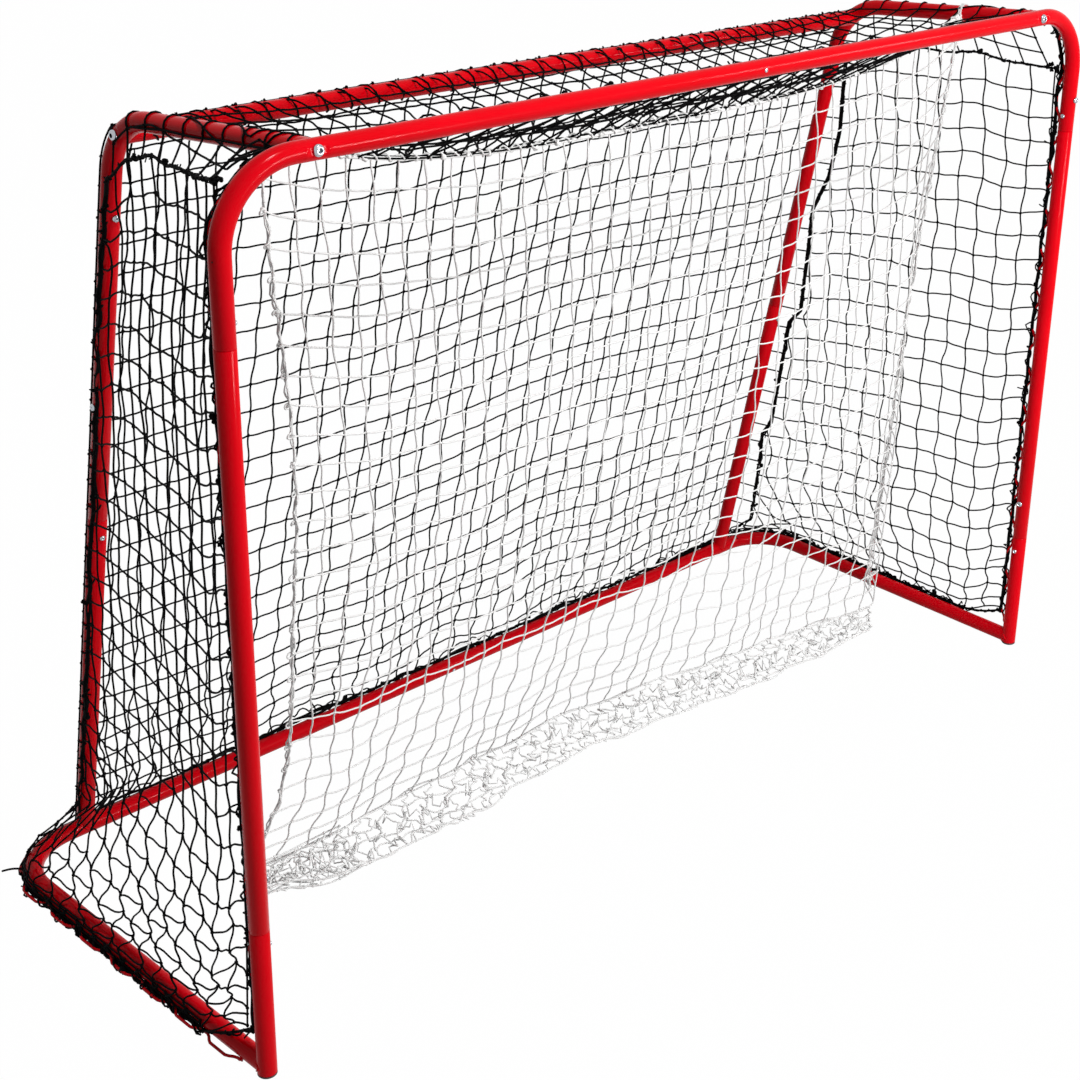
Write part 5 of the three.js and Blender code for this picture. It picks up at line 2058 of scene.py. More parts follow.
    def rope_at(self, side: Side, share: Array) -> Array:
        """Points of the seam rope between a side net and the top net, front to back.

        Args:
            side: Side of the goal.
            share: Shares of its length, seen from above.

        Returns:
            The points.
        """
        x = 0.7095 + 0.0895 * (1 - np.clip(share, 0, 1)) ** 1.6
        y = mix(NET.front_y, NET.rope_rear_y, share)
        z = bezier_like(self.rope_z[side], share)
        return np.stack([side.value * x, y, z + 0.0015 * waves(41 + side.value, share, 1, 5)], axis=-1)

    def _skirt(self, side: Side, share: Array, y: Array) -> Array:
        """Edge of the top net: the corner bend of the front frame first, then the seam rope.

        Args:
            side: Side of the goal.
            share: Shares of the net from front to back.
            y: Distances of the same places from the mouth.

        Returns:
            The points.
        """
        along = (y - NET.front_y - 0.018 * (1 - share)) / NET.rope_run
        along = along - self.skirt_lead[side] * np.clip(1 - along, 0, 1) ** 1.6
        turn = np.radians(mix(*self.corner_turn, ramp(along, 0.0, -0.3)))
        x, z = SIZES.post_x - SIZES.corner_bend_r, SIZES.bar_z - SIZES.corner_bend_r
        bend = np.stack([side.value * (x + NET.corner_reach * np.cos(turn)),
                         np.full_like(turn, NET.top_front_y), z + NET.corner_reach * np.sin(turn)], 1)
        return np.where((along < 0)[:, None], bend, self.rope_at(side, np.clip(along, 0, 1)))

    def top_at(self, u: Array, v: Array) -> Array:
        """Points of the top net, from rope to rope over both rails and from the crossbar to the rear bar.

        Args:
            u: Shares across the net.
            v: Shares from the crossbar back.

        Returns:
            The points.
        """
        share_u, share_v = np.ravel(u), np.clip(np.ravel(v), 0, 1)
        rear = SIZES.top_bar
        bend_end = SIZES.upright_straight + SIZES.hoop_arc
        start_y = NET.top_front_y
        rail_length = (SIZES.hoop_at(bend_end)[0][0][1] - start_y) / math.cos(SIZES.rail_fall)
        middle, outward = SIZES.hoop_at(mix(bend_end + rail_length, bend_end - SIZES.hoop_arc / 2, share_v))
        y = middle[:, 1]
        level = mix(SIZES.bar_z, rear[2] + self.top_rear_rise, share_v)
        fold_at = (SIZES.drop_net_y - start_y) / (rear[1] - start_y)
        fold = np.where(share_v < fold_at, share_v / fold_at, (1 - share_v) / (1 - fold_at))
        fold = np.clip(fold, 0, 1) ** self.top_fold_power
        reach = NET.wrap_r
        angle = np.radians(np.linspace(196, 20, 11))
        over_rails = []
        for side in (Side.LEFT, Side.RIGHT):
            arc = middle[:, None, :] + outward[:, None, :] * (reach * np.sin(angle))[None, :, None]
            arc[..., 0] = side.value * (SIZES.hoop_x - reach * np.cos(angle))[None, :]
            skirt = self._skirt(side, share_v, y)[:, None, :]
            halfway = mix(skirt, arc[:, :1], 0.5) - vec(0, 0, 0.002)
            over_rails.append(np.concatenate([skirt, halfway, arc], axis=1))
        x = np.linspace(-NET.rail_inner_x, NET.rail_inner_x, 41)
        over = middle[:, 2] + self.top_rail_rise
        flat = np.minimum(level, over)[:, None] + (rise(share_v, 0.86, 1.0) * self.top_bar_lift)[:, None]
        off_rail = rise(np.abs(x), 0.70, 0.65)[None, :]
        z = mix(over[:, None], flat, off_rail) - fold[:, None] * NET.belly(x)
        inner = np.stack([np.broadcast_to(x, z.shape), np.broadcast_to(y[:, None], z.shape), z], axis=2)
        line = np.concatenate([over_rails[0], inner, over_rails[1][:, ::-1]], axis=1)
        return polyline_at(line, share_u).reshape(*np.shape(u), 3)

    def top(self) -> None:
        """The top net over both rails, with the cord that binds it to the rear bar."""
        cords = CordLines(seed=51)
        fold = 0.335
        rows = np.concatenate([np.linspace(0, fold, 4), np.linspace(fold, 1, 7)[1:]])
        on_rail = lambda u: (np.abs(u - 0.045) < 0.045) | (np.abs(u - 0.955) < 0.045)
        cords.net(self.top_at, np.linspace(0, 1, 41), rows, self.cord_r, self.knot_r, stray=0.06,
                  zigzag=0.05, sway=0.10, sag=0.0008, loose=lambda u, v: np.where(on_rail(u), 0.3, 1.0))
        under = lambda u, v: self.top_at(0.5 + 0.80 * (u - 0.5), fold * v) - vec(0, 0, 0.004)
        cords.net(under, np.linspace(0, 1, 28), np.linspace(0.1, 0.97, 3), self.cord_r, self.knot_r,
                  stray=0.14, zigzag=0.18, sway=0.22, sag=0.0)
        run = np.linspace(0.01, 0.99, 40)
        _, bar_y, bar_z = SIZES.top_bar
        line = np.stack([mix(-NET.rail_inner_x, NET.rail_inner_x, run), np.full_like(run, bar_y),
                         np.full_like(run, bar_z)], axis=1)
        cords.lacing(line, NET.wrap_r, turn_length=self.mesh, cord_r=self.cord_r, ragged=0.01, phase=0.3)
        hooks = resampled(line + vec(0, 0.004, SIZES.tube_r + 0.0020), self.mesh)[0]
        cords.knots(hooks - vec(0, 0, 0.001), 0.0020, spread=0.3)
        self.keep_cords(cords, "top_net_cord", ["top_net"])

    # Side nets

    def seam_at(self, side: Side, z: Array) -> Array:
        """Points of the rope up the outside of an upright.

        Args:
            side: Side of the goal.
            z: Heights from the floor.

        Returns:
            The points.
        """
        height = np.ravel(z)
        middle, _ = SIZES.hoop_at((height - SIZES.tube_r) / math.cos(SIZES.upright_lean))
        line = middle - BACK * np.interp(height, *self.seam_ahead[side])[:, None]
        out = 0.7030 if side is Side.LEFT else 0.7088
        line[:, 0] = side.value * (out + 0.0008 * waves(87, height, 2, 8))
        line[:, 2] = height
        return line.reshape(*np.shape(z), 3)

    def side_at(self, side: Side, u: Array, v: Array) -> Array:
        """Points of a side net, from the post to the upright and from the floor tube to the seam rope.

        Args:
            side: Side of the goal.
            u: Shares of the net from front to back.
            v: Shares up the net.

        Returns:
            The points.
        """
        u, v = np.asarray(u, float), np.asarray(v, float)
        near_z = mix(0.02, 1.06, v)
        reach = self.seam_at(side, near_z)[..., 1] - NET.front_y
        reach = mix(reach, self.foot_length, ramp(near_z, 0.20, 0.03) ** 1.25)
        reach = mix(reach, NET.rope_run, rise(v, 0.88, 1.0))
        walked = u * self.foot_length
        share = np.clip(walked / reach, 0, 1)
        spare = np.maximum(walked - reach, 0)
        top = self.rope_at(side, share)
        z = mix(mix(0.060, self.foot_z(side), rise(share, 0.0, 0.15)), top[..., 2], v) - 0.32 * spare
        rear = self.seam_at(side, z) + BACK * (0.003 * np.sin(90 * spare + 40 * z))[..., None]
        x, y = mix(SIZES.post_x, np.abs(rear[..., 0]), share), mix(NET.front_y, rear[..., 1], share)
        round_x, round_y = self._floor_plan(share, z)
        flare = mix(*self.flare_z, rise(share, 0.55, 1.0))
        low = ramp(z, flare, self.flare_foot_z) ** 1.25
        x, y = mix(x, round_x, low), mix(y, round_y, low)
        top_pull = rise(v, 0.80, 1.0) * (spare <= 0)
        x, y = mix(x, np.abs(top[..., 0]), top_pull), mix(y, top[..., 1], top_pull)
        billow = np.sin(math.pi * share) * np.clip(1 - np.abs(2 * v - 1) ** 4, 0, 1)
        x = x + billow * (0.003 * waves(61 + side.value, share + 0.4 * v, 0.8, 2.4) - 0.002)
        return np.stack([side.value * x, y, z], axis=-1)

    @staticmethod
    def foot_z(side: Side) -> float:
        """Height of a side net's foot: low on the left floor tube's outside, high on the right one's."""
        return 0.0055 if side is Side.LEFT else 0.0215

    @staticmethod
    def _floor_plan(share: Array, z: Array) -> tuple[Array, Array]:
        """Plan of the net's foot, on the outside of the floor tube and part of the way round its bend.

        Args:
            share: Shares of the net from front to back.
            z: Heights from the floor.

        Returns:
            Distances from the middle of the goal and from the mouth.
        """
        tube = SIZES.tube_r
        out = np.sqrt(np.maximum((tube + 0.0022) ** 2 - (z - tube) ** 2, 0.007 ** 2))
        above = np.maximum(out, mix(tube, 0.006, rise(z, 0.02, 0.05)))
        out = np.where(z > tube, above, out)
        start = 0.03
        run = SIZES.base_depth - SIZES.base_bend_r - start
        r = SIZES.base_bend_r + out
        walked = share * (run + (SIZES.base_bend_r + tube) * math.radians(82))
        turn = np.clip((walked - run) / (SIZES.base_bend_r + tube), 0, None)
        x = SIZES.post_x - SIZES.base_bend_r + r * np.cos(turn)
        return x, start + np.minimum(walked, run) + r * np.sin(turn)

    def side(self, side: Side) -> None:
        """One side net with its selvage up the post.

        Args:
            side: Side of the goal.
        """
        cords = CordLines(seed=71 + side.value)
        if side is Side.LEFT:
            low, plain, slack = [0.40, 0.40, 0.50, 0.65, 0.72, 0.75, 0.80, 0.90], 20, 1.50
        else:
            low, plain, slack = [0.5, 0.7, 0.9], 22, 0.45
        rows = shares_of(np.concatenate([low, np.ones(plain)]))
        hold = lambda u, v: 0.42 + slack * ramp(v, 0.34, 0.0)
        cords.net(lambda u, v: self.side_at(side, u, v), np.linspace(0, 1, 18), rows, self.cord_r,
                  self.knot_r, stray=0.09, zigzag=0.11, sway=0.14, sag=0.0010, loose=hold)
        self.keep_cords(cords, f"side_net_cord_{side.label}", [f"side_net_{side.label}"])

    def seam_ropes(self, side: Side) -> None:
        """Seam rope of the top edge, and the knotted rope up the outside of the upright.

        Args:
            side: Side of the goal.
        """
        cords = CordLines(seed=81 + side.value)
        line = self.rope_at(side, np.linspace(0, 1, 60))
        cords.line(line, 0.0019)
        cords.lacing(line, 0.0017, turn_length=0.021, cord_r=self.cord_r, ragged=0.4)
        cords.whiskers(line, spacing=0.022, length=0.010, cord_r=self.cord_r * 0.7)
        self._lumps(cords, line, 0.110)
        size = 0.0030 if side is Side.LEFT else 0.0044
        cords.knots(line[0] + cords.rng.normal(0, 0.0035, (6, 3)), size, spread=0.3)
        self.keep_cords(cords, f"side_seam_{side.label}", [f"side_seam_rope_{side.label}"], sides=7)

        cords = CordLines(seed=85 + side.value)
        height = np.linspace(1.025, 0.045, 150)
        line = np.concatenate([line[-2:], self.seam_at(side, height)])
        line[2:, 1] += 0.0030 * waves(88 + side.value, height, 6, 26)
        cords.line(line, self.rope_r[side])
        cords.lacing(line, self.rope_r[side], turn_length=0.024, cord_r=self.cord_r, ragged=0.6)
        cords.whiskers(line, spacing=0.045, length=0.010, cord_r=self.cord_r * 0.8)
        self._lumps(cords, line, 0.100)
        self._wraps(cords, side)
        self.keep_cords(cords, f"corner_seam_{side.label}", [f"corner_seam_rope_{side.label}"], sides=7)

    @staticmethod
    def _lumps(cords: CordLines, line: Array, spacing: float) -> None:
        """Knotted lumps along a seam.

        Args:
            cords: Cords of the seam.
            line: Points of the seam.
            spacing: Distance between the lumps.
        """
        places, _, _ = resampled(line, spacing)
        places = places[1:-1] + cords.rng.normal(0, 0.004, (len(places) - 2, 3)) * vec(0.1, 1, 1)
        cords.knots(places, 0.0034, spread=0.3)
        beside = cords.rng.normal(0, 0.0026, places.shape) * vec(0.4, 1, 1)
        cords.knots(places + beside, 0.0028, spread=0.3)

    def _wraps(self, cords: CordLines, side: Side) -> None:
        """Cords of the back net that pass round the upright's outside to the seam rope.

        Args:
            cords: Cords of the seam.
            side: Side of the goal.
        """
        steps = np.linspace(0, 1, 9)
        for start in np.arange(0.075, 1.0, self.mesh):
            z = start + 0.010 * cords.rng.uniform(-1, 1) + cords.rng.uniform(0.004, 0.012) * steps
            middle, outward = SIZES.hoop_at((z - SIZES.tube_r) / math.cos(SIZES.upright_lean))
            angle = np.radians(mix(95.0, -14.0 if side is Side.LEFT else 14.0, steps))
            points = middle + outward * (NET.wrap_r * np.sin(angle))[:, None]
            points[:, 0] = side.value * (SIZES.hoop_x + NET.wrap_r * np.cos(angle))
            cords.line(np.concatenate([points, self.seam_at(side, z[-1:] + 0.004)]), self.cord_r)

    def rail_lacing(self) -> None:
        """Cord that runs through the top net along the outer side of both rails."""
        cords = CordLines(seed=91)
        below, reach = math.radians(-14), SIZES.tube_r + 0.0018
        y = np.linspace(0.030, 0.330, 40)
        z = SIZES.bar_z - math.tan(SIZES.rail_fall) * y + reach * math.sin(below)
        z += 0.0012 * waves(78, y * 3, 1, 5)
        for side in Side:
            x = np.full_like(y, side.value * (SIZES.hoop_x + reach * math.cos(below)))
            cords.line(np.stack([x, y, z], axis=1), self.cord_r * 1.1)
        self.keep_cords(cords, "rail_lacing")

    # Selvage and lacing on the wires

    def front_edge(self) -> Array:
        """Middle line of the net's front selvage, up the left post, over and down the right.

        Returns:
            The points.
        """
        x, z, foot = SIZES.post_x, SIZES.bar_z, 0.055
        path = bent_line([vec(-x, 0, foot), vec(-x, 0, z), vec(x, 0, z), vec(x, 0, foot)],
                         SIZES.corner_bend_r, 14)
        points = resampled(np.array([p for p, _ in path]), 0.0125)[0]
        return points + vec(0, SIZES.tube_r + SIZES.fit_gap + 0.0095, 0)

    def front_selvage(self) -> None:
        """Selvage rope, winding and knots that hold the net on the wires of the front frame."""
        cords = CordLines(seed=101)
        edge = self.front_edge()
        share = np.linspace(0, 1, len(edge))
        loose = np.stack([size * waves(seed, share, 20, 60)
                          for size, seed in ((0.0010, 102), (0.0016, 103), (0.0010, 104))], axis=1)
        cords.line(edge + loose, 0.0030)
        cords.lacing(edge, 0.0042, turn_length=0.036, cord_r=self.cord_r, ragged=0.45)
        cords.lacing(edge, 0.0050, turn_length=0.058, cord_r=self.cord_r, ragged=0.5, phase=2.4)
        spots = resampled(edge, SIZES.wire_loop_pitch)[0]
        for scatter, size in ((0.003, 0.0036), (0.004, 0.0030)):
            cords.knots(spots + cords.rng.normal(0, scatter, spots.shape), size, spread=0.3)
        cords.whiskers(edge, spacing=0.11, length=0.020, cord_r=self.cord_r)
        self.keep_cords(cords, "front_selvage")

    def bunch_line(self, distance: Array) -> tuple[Array, Array]:
        """Middle line of the spare net along the floor frame, and how thick it is there, from 0 to 1.

        It lies low on the left tube's outside, on top behind the rear one and high on the right one's.

        Args:
            distance: Distances round the floor frame.

        Returns:
            The points and the thickness.
        """
        middle, away = self.wires.base_places(distance)
        share = distance / self.wires.base_length
        rear = rise(np.abs(share - 0.5), 0.22, 0.16)
        front = np.where(share < 0.5, self.bunch_angle[Side.LEFT], self.bunch_angle[Side.RIGHT])
        angle = np.radians(mix(front, self.bunch_rear_angle, rear))
        bulk = mix(1.0, self.bunch_rear_bulk, rear)
        reach = SIZES.tube_r + 0.0030 + 0.0012 * bulk
        centre = middle + away * (reach * np.cos(angle))[:, None]
        centre[:, 2] = SIZES.tube_r + reach * np.sin(angle) + 0.0012 * waves(112, share, 20, 60)
        return centre, bulk

    def base_bunch(self) -> None:
        """Knotted bunch of spare net that is laced to the wire round the floor frame."""
        cords = CordLines(seed=111)
        length = self.wires.base_length
        distance = np.linspace(self.bunch_ends, length - self.bunch_ends, 900)
        centre, bulk = self.bunch_line(distance)
        share = distance / length
        along = (share - share[0]) / (share[-1] - share[0])
        cords.line(centre, 0.0021)
        for turn, reach, phase, thick in ((0.034, 0.0034, 0.0, 1.1), (0.047, 0.0042, 1.7, 1.0),
                                          (0.071, 0.0036, 3.4, 1.0), (0.026, 0.0024, 5.0, 1.15)):
            points, headings, walked = resampled(centre, turn / cords.steps_per_turn)
            across, above = side_frames(headings)
            noise = running_noise(cords.rng, len(points))
            radius = reach * np.interp(walked / walked[-1], along, bulk)
            radius *= 1 + 1.3 * noise
            angle = phase + 2 * math.pi * walked / turn + 1.2 * noise
            loop = (points + across * (radius * np.cos(angle))[:, None]
                    + above * (radius * np.sin(angle))[:, None])
            loop[:, 2] = np.maximum(loop[:, 2], 0.0018)
            cords.line(loop, self.cord_r * thick)
        spots, _, walked = resampled(centre, 0.026)
        chance = np.interp(walked / walked[-1], np.linspace(0, 1, len(bulk)), bulk)
        keep = cords.rng.random(len(spots)) < chance
        knots = spots[keep] + cords.rng.normal(0, 0.0028, spots.shape)[keep]
        knots[:, 2] = np.maximum(knots[:, 2], 0.005)
        cords.knots(knots, 0.0042, spread=0.35)
        for part in (centre[share < 0.30], centre[share > 0.70]):
            cords.whiskers(part, spacing=0.040, length=0.012, cord_r=self.cord_r * 0.85)
        self._ladders(cords)
        self._strays(cords)
        self.keep_cords(cords, "floor_bunch")

    def _ladders(self, cords: CordLines) -> None:
        """Spare net pressed flat on the floor tube's outer face, above the bunch.

        Args:
            cords: Cords of the bunch.
        """
        length = self.wires.base_length
        reach = SIZES.tube_r + NET.face_gap

        def face(u: Array, v: Array) -> Array:
            """Points on the outer face.

            Args:
                u: Shares along the tube.
                v: Shares up its face.

            Returns:
                The points.
            """
            middle, away = self.wires.base_places(np.ravel(mix(0.085, length * 0.30, u)))
            angle = np.radians(mix(-34.0, 22.0, np.ravel(v)))
            points = middle + away * (reach * np.cos(angle))[:, None]
            points[:, 2] = SIZES.tube_r + reach * np.sin(angle)
            return points.reshape(*np.shape(u), 3)

        cords.net(face, np.linspace(0, 1, 21), np.linspace(0, 1, 3), self.cord_r, self.knot_r,
                  stray=0.15, zigzag=0.16, sway=0.34, sag=0.0)

    def _strays(self, cords: CordLines) -> None:
        """The loose end at the left rear bend, three small rings and the cord from the bunch to each post.

        Args:
            cords: Cords of the bunch.
        """
        sway = np.linspace(0, 1, 9)[:, None]
        cords.line(mix(vec(-0.8095, 0.575, 0.0145), vec(-0.8288, 0.610, 0.004), sway)
                   + vec(0, 0, 0.003) * np.sin(math.pi * sway), self.cord_r * 1.1)
        turn = np.linspace(0, 2 * math.pi, 13)[:-1]
        oval = np.stack([0.55 * np.cos(turn), np.sin(turn), 0.8 * np.cos(turn)], axis=1)
        for y, size in ((0.455, 0.0052), (0.247, 0.0032), (0.223, 0.0036)):
            cords.line(vec(-SIZES.post_x - 0.0205, y, 0.0065) + size * oval, self.cord_r, closed=True)
        for side in Side:
            end = 0.085 if side is Side.LEFT else self.wires.base_length - 0.085
            start = self.bunch_line(np.array([end]))[0][0]
            steps = np.linspace(0, 1, 12)[:, None]
            line = mix(start, vec(side.value * (SIZES.post_x + 0.003), 0.0225, 0.058), steps)
            line = line - vec(0, 0, 0.006) * np.sin(math.pi * steps)
            cords.line(line, 0.0021)
            cords.lacing(line, 0.0026, turn_length=0.020, cord_r=self.cord_r, ragged=0.4)

    def build(self) -> None:
        """Builds the panels, then the ropes and the lacing."""
        self.back()
        self.top()
        for side in Side:
            self.side(side)
            self.seam_ropes(side)
        self.rail_lacing()
        self.front_selvage()
        self.base_bunch()


@dataclass
class DropNet(Builder):
    """The white net that hangs behind the mouth, with its head rope, its tail on the floor and its ties."""

    slot: ClassVar[Slot] = Slot.WHITE
    cord_r: float = 0.00125
    knot_r: float = 0.0023
    foot_y: tuple[float, ...] = (0.335, 0.338, 0.342, 0.346, 0.348, 0.345, 0.330, 0.305, 0.290, 0.270,
                                 0.245, 0.235)
    tail_y: tuple[float, ...] = (0.300, 0.262, 0.260, 0.256, 0.263, 0.272, 0.258, 0.242, 0.224, 0.213,
                                 0.207, 0.205)
    edge_z: tuple[float, ...] = (0.0, 0.20, 0.42, 0.63, 0.79, 0.94, 1.03, 1.15)
    edge_x: tuple[float, ...] = (0.795, 0.775, 0.748, 0.722, 0.707, 0.697, 0.694, 0.684)
    head_x: tuple[float, float] = (-0.661, 0.678)
    foot_x: tuple[float, float] = (-0.592, 0.790)
    head_z: float = 1.1455
    foot_z: float = 0.024
    drawn_in: float = 0.024

    def head_at(self, u: Array) -> Array:
        """Points of the net's head, under the belly of the top net.

        Args:
            u: Shares across the net.

        Returns:
            The points.
        """
        x = mix(*self.head_x, u)
        y = SIZES.drop_net_y + 0.002 * waves(121, u, 2, 6)
        return np.stack([x, y, self.head_z - NET.belly(x)], axis=-1)

    def foot_at(self, u: Array) -> Array:
        """Points where the hanging net reaches the floor.

        Args:
            u: Shares across the net.

        Returns:
            The points.
        """
        y = bezier_like(self.foot_y, u) + 0.004 * waves(122, u, 3, 8)
        y = mix(y, NET.floor_tie_y, rise(u, 0.93, 1.0))
        return np.stack([mix(*self.foot_x, u), y, np.full_like(y, self.foot_z)], axis=-1)

    def hang_at(self, u: Array, v: Array) -> Array:
        """Points of the hanging net, from its left edge to its right and from the floor to its head.

        Args:
            u: Shares across the net.
            v: Shares up the net.

        Returns:
            The points.
        """
        u, v = np.asarray(u, float), np.asarray(v, float)
        head, foot = self.head_at(u), self.foot_at(u)
        lift = np.clip(v, 0, 1)
        x = mix(foot[..., 0], head[..., 0], lift)
        drawn = self.drawn_in * rise(lift, 0.0, 0.12) * rise(lift, 0.97, 0.42)
        x = x + drawn * ramp(u, 0.5, 0.0) ** 1.5
        z = mix(foot[..., 2], head[..., 2], lift)
        edge = np.interp(z, self.edge_z, self.edge_x)
        straight = mix(self.foot_x[1], self.head_x[1], lift)
        x = x + (edge - straight) * ramp(u, 0.5, 1.0) ** 2
        taut = rise(u, 0.90, 1.0)
        sweep = mix((1 - lift) ** 2.3, 1 - lift, taut)
        y = head[..., 1] + (foot[..., 1] - head[..., 1]) * sweep
        swell = np.sin(math.pi * np.clip(lift + 0.02, 0, 1)) ** 0.5
        fold = waves(123, u, 2.0, 7.0) * (1 - lift) ** 0.8 * swell
        y = y + 0.012 * fold * (1 - taut)
        x = x + 0.006 * waves(124, u + lift * 0.4, 2, 6) * (1 - lift) * (1 - taut)
        return np.stack([x, y, z], axis=-1)

    def hanging(self) -> None:
        """The hanging net with its doubled edges."""
        cords = CordLines(seed=131)
        rows = shares_of(np.concatenate([np.full(3, 0.85), np.ones(24)]))
        cords.net(self.hang_at, np.linspace(0, 1, 35), rows, self.cord_r, self.knot_r, stray=0.09,
                  zigzag=0.08, sway=0.13, sag=0.0012, loose=lambda u, v: 0.40 + 0.45 * (1 - v) ** 2.5,
                  parts=5)
        run = np.linspace(0, 1, 90)
        for at in (0, 1):
            edge = self.hang_at(np.full_like(run, at), run)
            for strand in range(2):
                seed = strand + at * 7
                shift = np.stack([0.0024 * waves(132 + seed, run, 8, 26),
                                  0.0024 * waves(142 + seed, run, 8, 26), 0 * run], axis=1)
                cords.line(edge + shift, self.cord_r)
            cords.lacing(edge, 0.0022, turn_length=0.060, cord_r=self.cord_r, ragged=0.4)
        self._edge_loops(cords, rows)
        self.keep_cords(cords, "drop_net_cord", ["drop_net"], sides=5)

    def _edge_loops(self, cords: CordLines, rows: Array) -> None:
        """Small loops of spare cord that stick out of the left edge at each mesh.

        Args:
            cords: Cords of the net.
            rows: Shares of the level cords up the net.
        """
        turn = np.linspace(0, 2 * math.pi, 10)
        out, along = (1 - np.cos(turn)) / 2, np.sin(turn)
        for at in rows[1:-1]:
            base = self.hang_at(np.array(0.0), np.array(at))
            reach = cords.rng.uniform(0.004, 0.009)
            lean = cords.rng.uniform(-0.6, 0.6)
            loop = np.stack([-reach * out, 0.35 * reach * along * math.sin(lean),
                             0.45 * reach * along - 0.25 * reach * out], axis=1)
            cords.line(base + loop, self.cord_r)
            cords.knots(base[None, :] + cords.rng.normal(0, 0.0015, (1, 3)), 0.0032, spread=0.2)

    def head_rope(self) -> None:
        """Rope along the net's head, laced to the belly of the top net."""
        cords = CordLines(seed=151)
        line = self.head_at(np.linspace(0, 1, 120))
        cords.line(line, 0.0025)
        cords.lacing(line + vec(0, 0, 0.002), 0.0040, turn_length=0.021, cord_r=self.cord_r, ragged=0.3)
        places = resampled(line, self.cord_r * 31)[0]
        cords.knots(places + cords.rng.normal(0, 0.0012, places.shape), 0.0042, spread=0.2)
        self.keep_cords(cords, "head_rope", ["drop_net_head_rope"], sides=7)

    def tail_at(self, u: Array, v: Array) -> Array:
        """Points of the spare net on the floor, back from its loose edge to the foot of the hanging net.

        Args:
            u: Shares across the net.
            v: Shares from its loose edge back.

        Returns:
            The points.
        """
        u, v = np.asarray(u, float), np.asarray(v, float)
        top = self.foot_at(u * 0.93)
        low_x, low_y = mix(-0.602, 0.655, u), bezier_like(self.tail_y, u) + 0.004 * waves(161, u, 4, 12)
        x = mix(low_x, top[..., 0], v) + 0.004 * waves(162, u + 0.5 * v, 6, 16)
        y = mix(low_y, top[..., 1], v) + 0.005 * waves(163, u + v, 5, 14)
        fold = 0.008 * waves(164, 1.4 * u + 0.7 * v, 5, 15) * np.sin(math.pi * np.clip(v, 0, 1))
        z = mix(0.004, top[..., 2], np.clip(v, 0, 1) ** 1.4) + fold
        return np.stack([x, y, np.maximum(z, 0.0028)], axis=-1)

    def tail(self) -> None:
        """The spare net on the floor, one slack layer and a clump at its left end."""
        cords = CordLines(seed=171)
        cords.net(self.tail_at, np.linspace(0, 1, 58), np.linspace(0, 1, 5), self.cord_r, self.knot_r,
                  stray=0.16, zigzag=0.30, sway=0.20, sag=0.0)
        clump = lambda u, v: self.tail_at(u * 0.10, v) + vec(0.006, -0.004, 0.010)
        cords.net(clump, np.linspace(0, 1, 6), np.linspace(0, 1, 5), self.cord_r, self.knot_r,
                  stray=0.22, zigzag=0.26, sway=0.26, sag=0.0)
        run = np.linspace(0, 1, 240)
        edge = self.tail_at(run, 0.03 + 0.03 * waves(172, run, 12, 40))
        cords.line(edge, self.cord_r * 1.1)
        self.keep_cords(cords, "drop_net_heap", ["drop_net_tail"])

    def _tie(self, name: str, node: str, centre: Array, along: Array, knot_way: Array, seed: int) -> None:
        """Cord wound twice round a tube and knotted, with two short ends.

        Args:
            name: Name of the piece.
            node: CAD node that it replaces.
            centre: Middle of the tube at the tie.
            along: The way the tube runs.
            knot_way: The way from the tube to the knot.
            seed: Starts its chance.
        """
        cords = CordLines(seed=seed)
        first = unit(knot_way - along * float(knot_way @ along))
        second = np.cross(along, first)
        reach = SIZES.tube_r + NET.face_gap
        turn = np.linspace(-0.3, 4 * math.pi + 0.3, 46)
        ring = (centre + reach * (np.outer(np.cos(turn), first) + np.outer(np.sin(turn), second))
                + np.outer(np.linspace(-0.0042, 0.0042, 46), along))
        cords.line(ring, 0.0016)
        cords.lacing(ring, 0.0010, turn_length=0.012, cord_r=0.0011, ragged=0.2)
        knot = centre + first * (reach + 0.003)
        cords.knots(np.array([knot, knot + along * 0.004, knot + first * 0.003]), 0.0052, spread=0.1)
        steps = np.linspace(0, 1, 7)[:, None]
        for way in (-1, 1):
            end = first * 0.012 + along * way * 0.016 - vec(0, 0, 0.012)
            cords.line(knot + end * steps - vec(0, 0, 0.006) * steps ** 2, 0.0013)
        self.keep_cords(cords, name, [node])

    def build(self) -> None:
        """Builds the hanging net, its head rope, the tail and both ties."""
        self.hanging()
        self.head_rope()
        self.tail()
        rail = vec(SIZES.hoop_x, SIZES.drop_net_y, SIZES.bar_z - math.tan(SIZES.rail_fall) * SIZES.drop_net_y)
        self._tie("rail_tie", "drop_net_rail_tie", rail, SIZES.rail_dir, vec(-1, 0, -0.35), 201)
        base = vec(SIZES.post_x, NET.floor_tie_y, SIZES.tube_r)
        self._tie("floor_tie", "drop_net_base_tie", base, BACK, vec(-1, 0, 0.5), 202)


# The studio


@dataclass(frozen=True)
class CameraFit:
    """The camera that took the photograph, from the mouth, in metres and degrees."""

    place: tuple[float, float, float] = (-1.9157, -1.6897, 1.6975)
    azimuth: float = 50.847
    fall: float = 22.349
    roll: float = 3.555
    focal_px: float = 1935.4
    centre_px: tuple[float, float] = (798.3, 434.4)
    frame_px: float = 1080.0


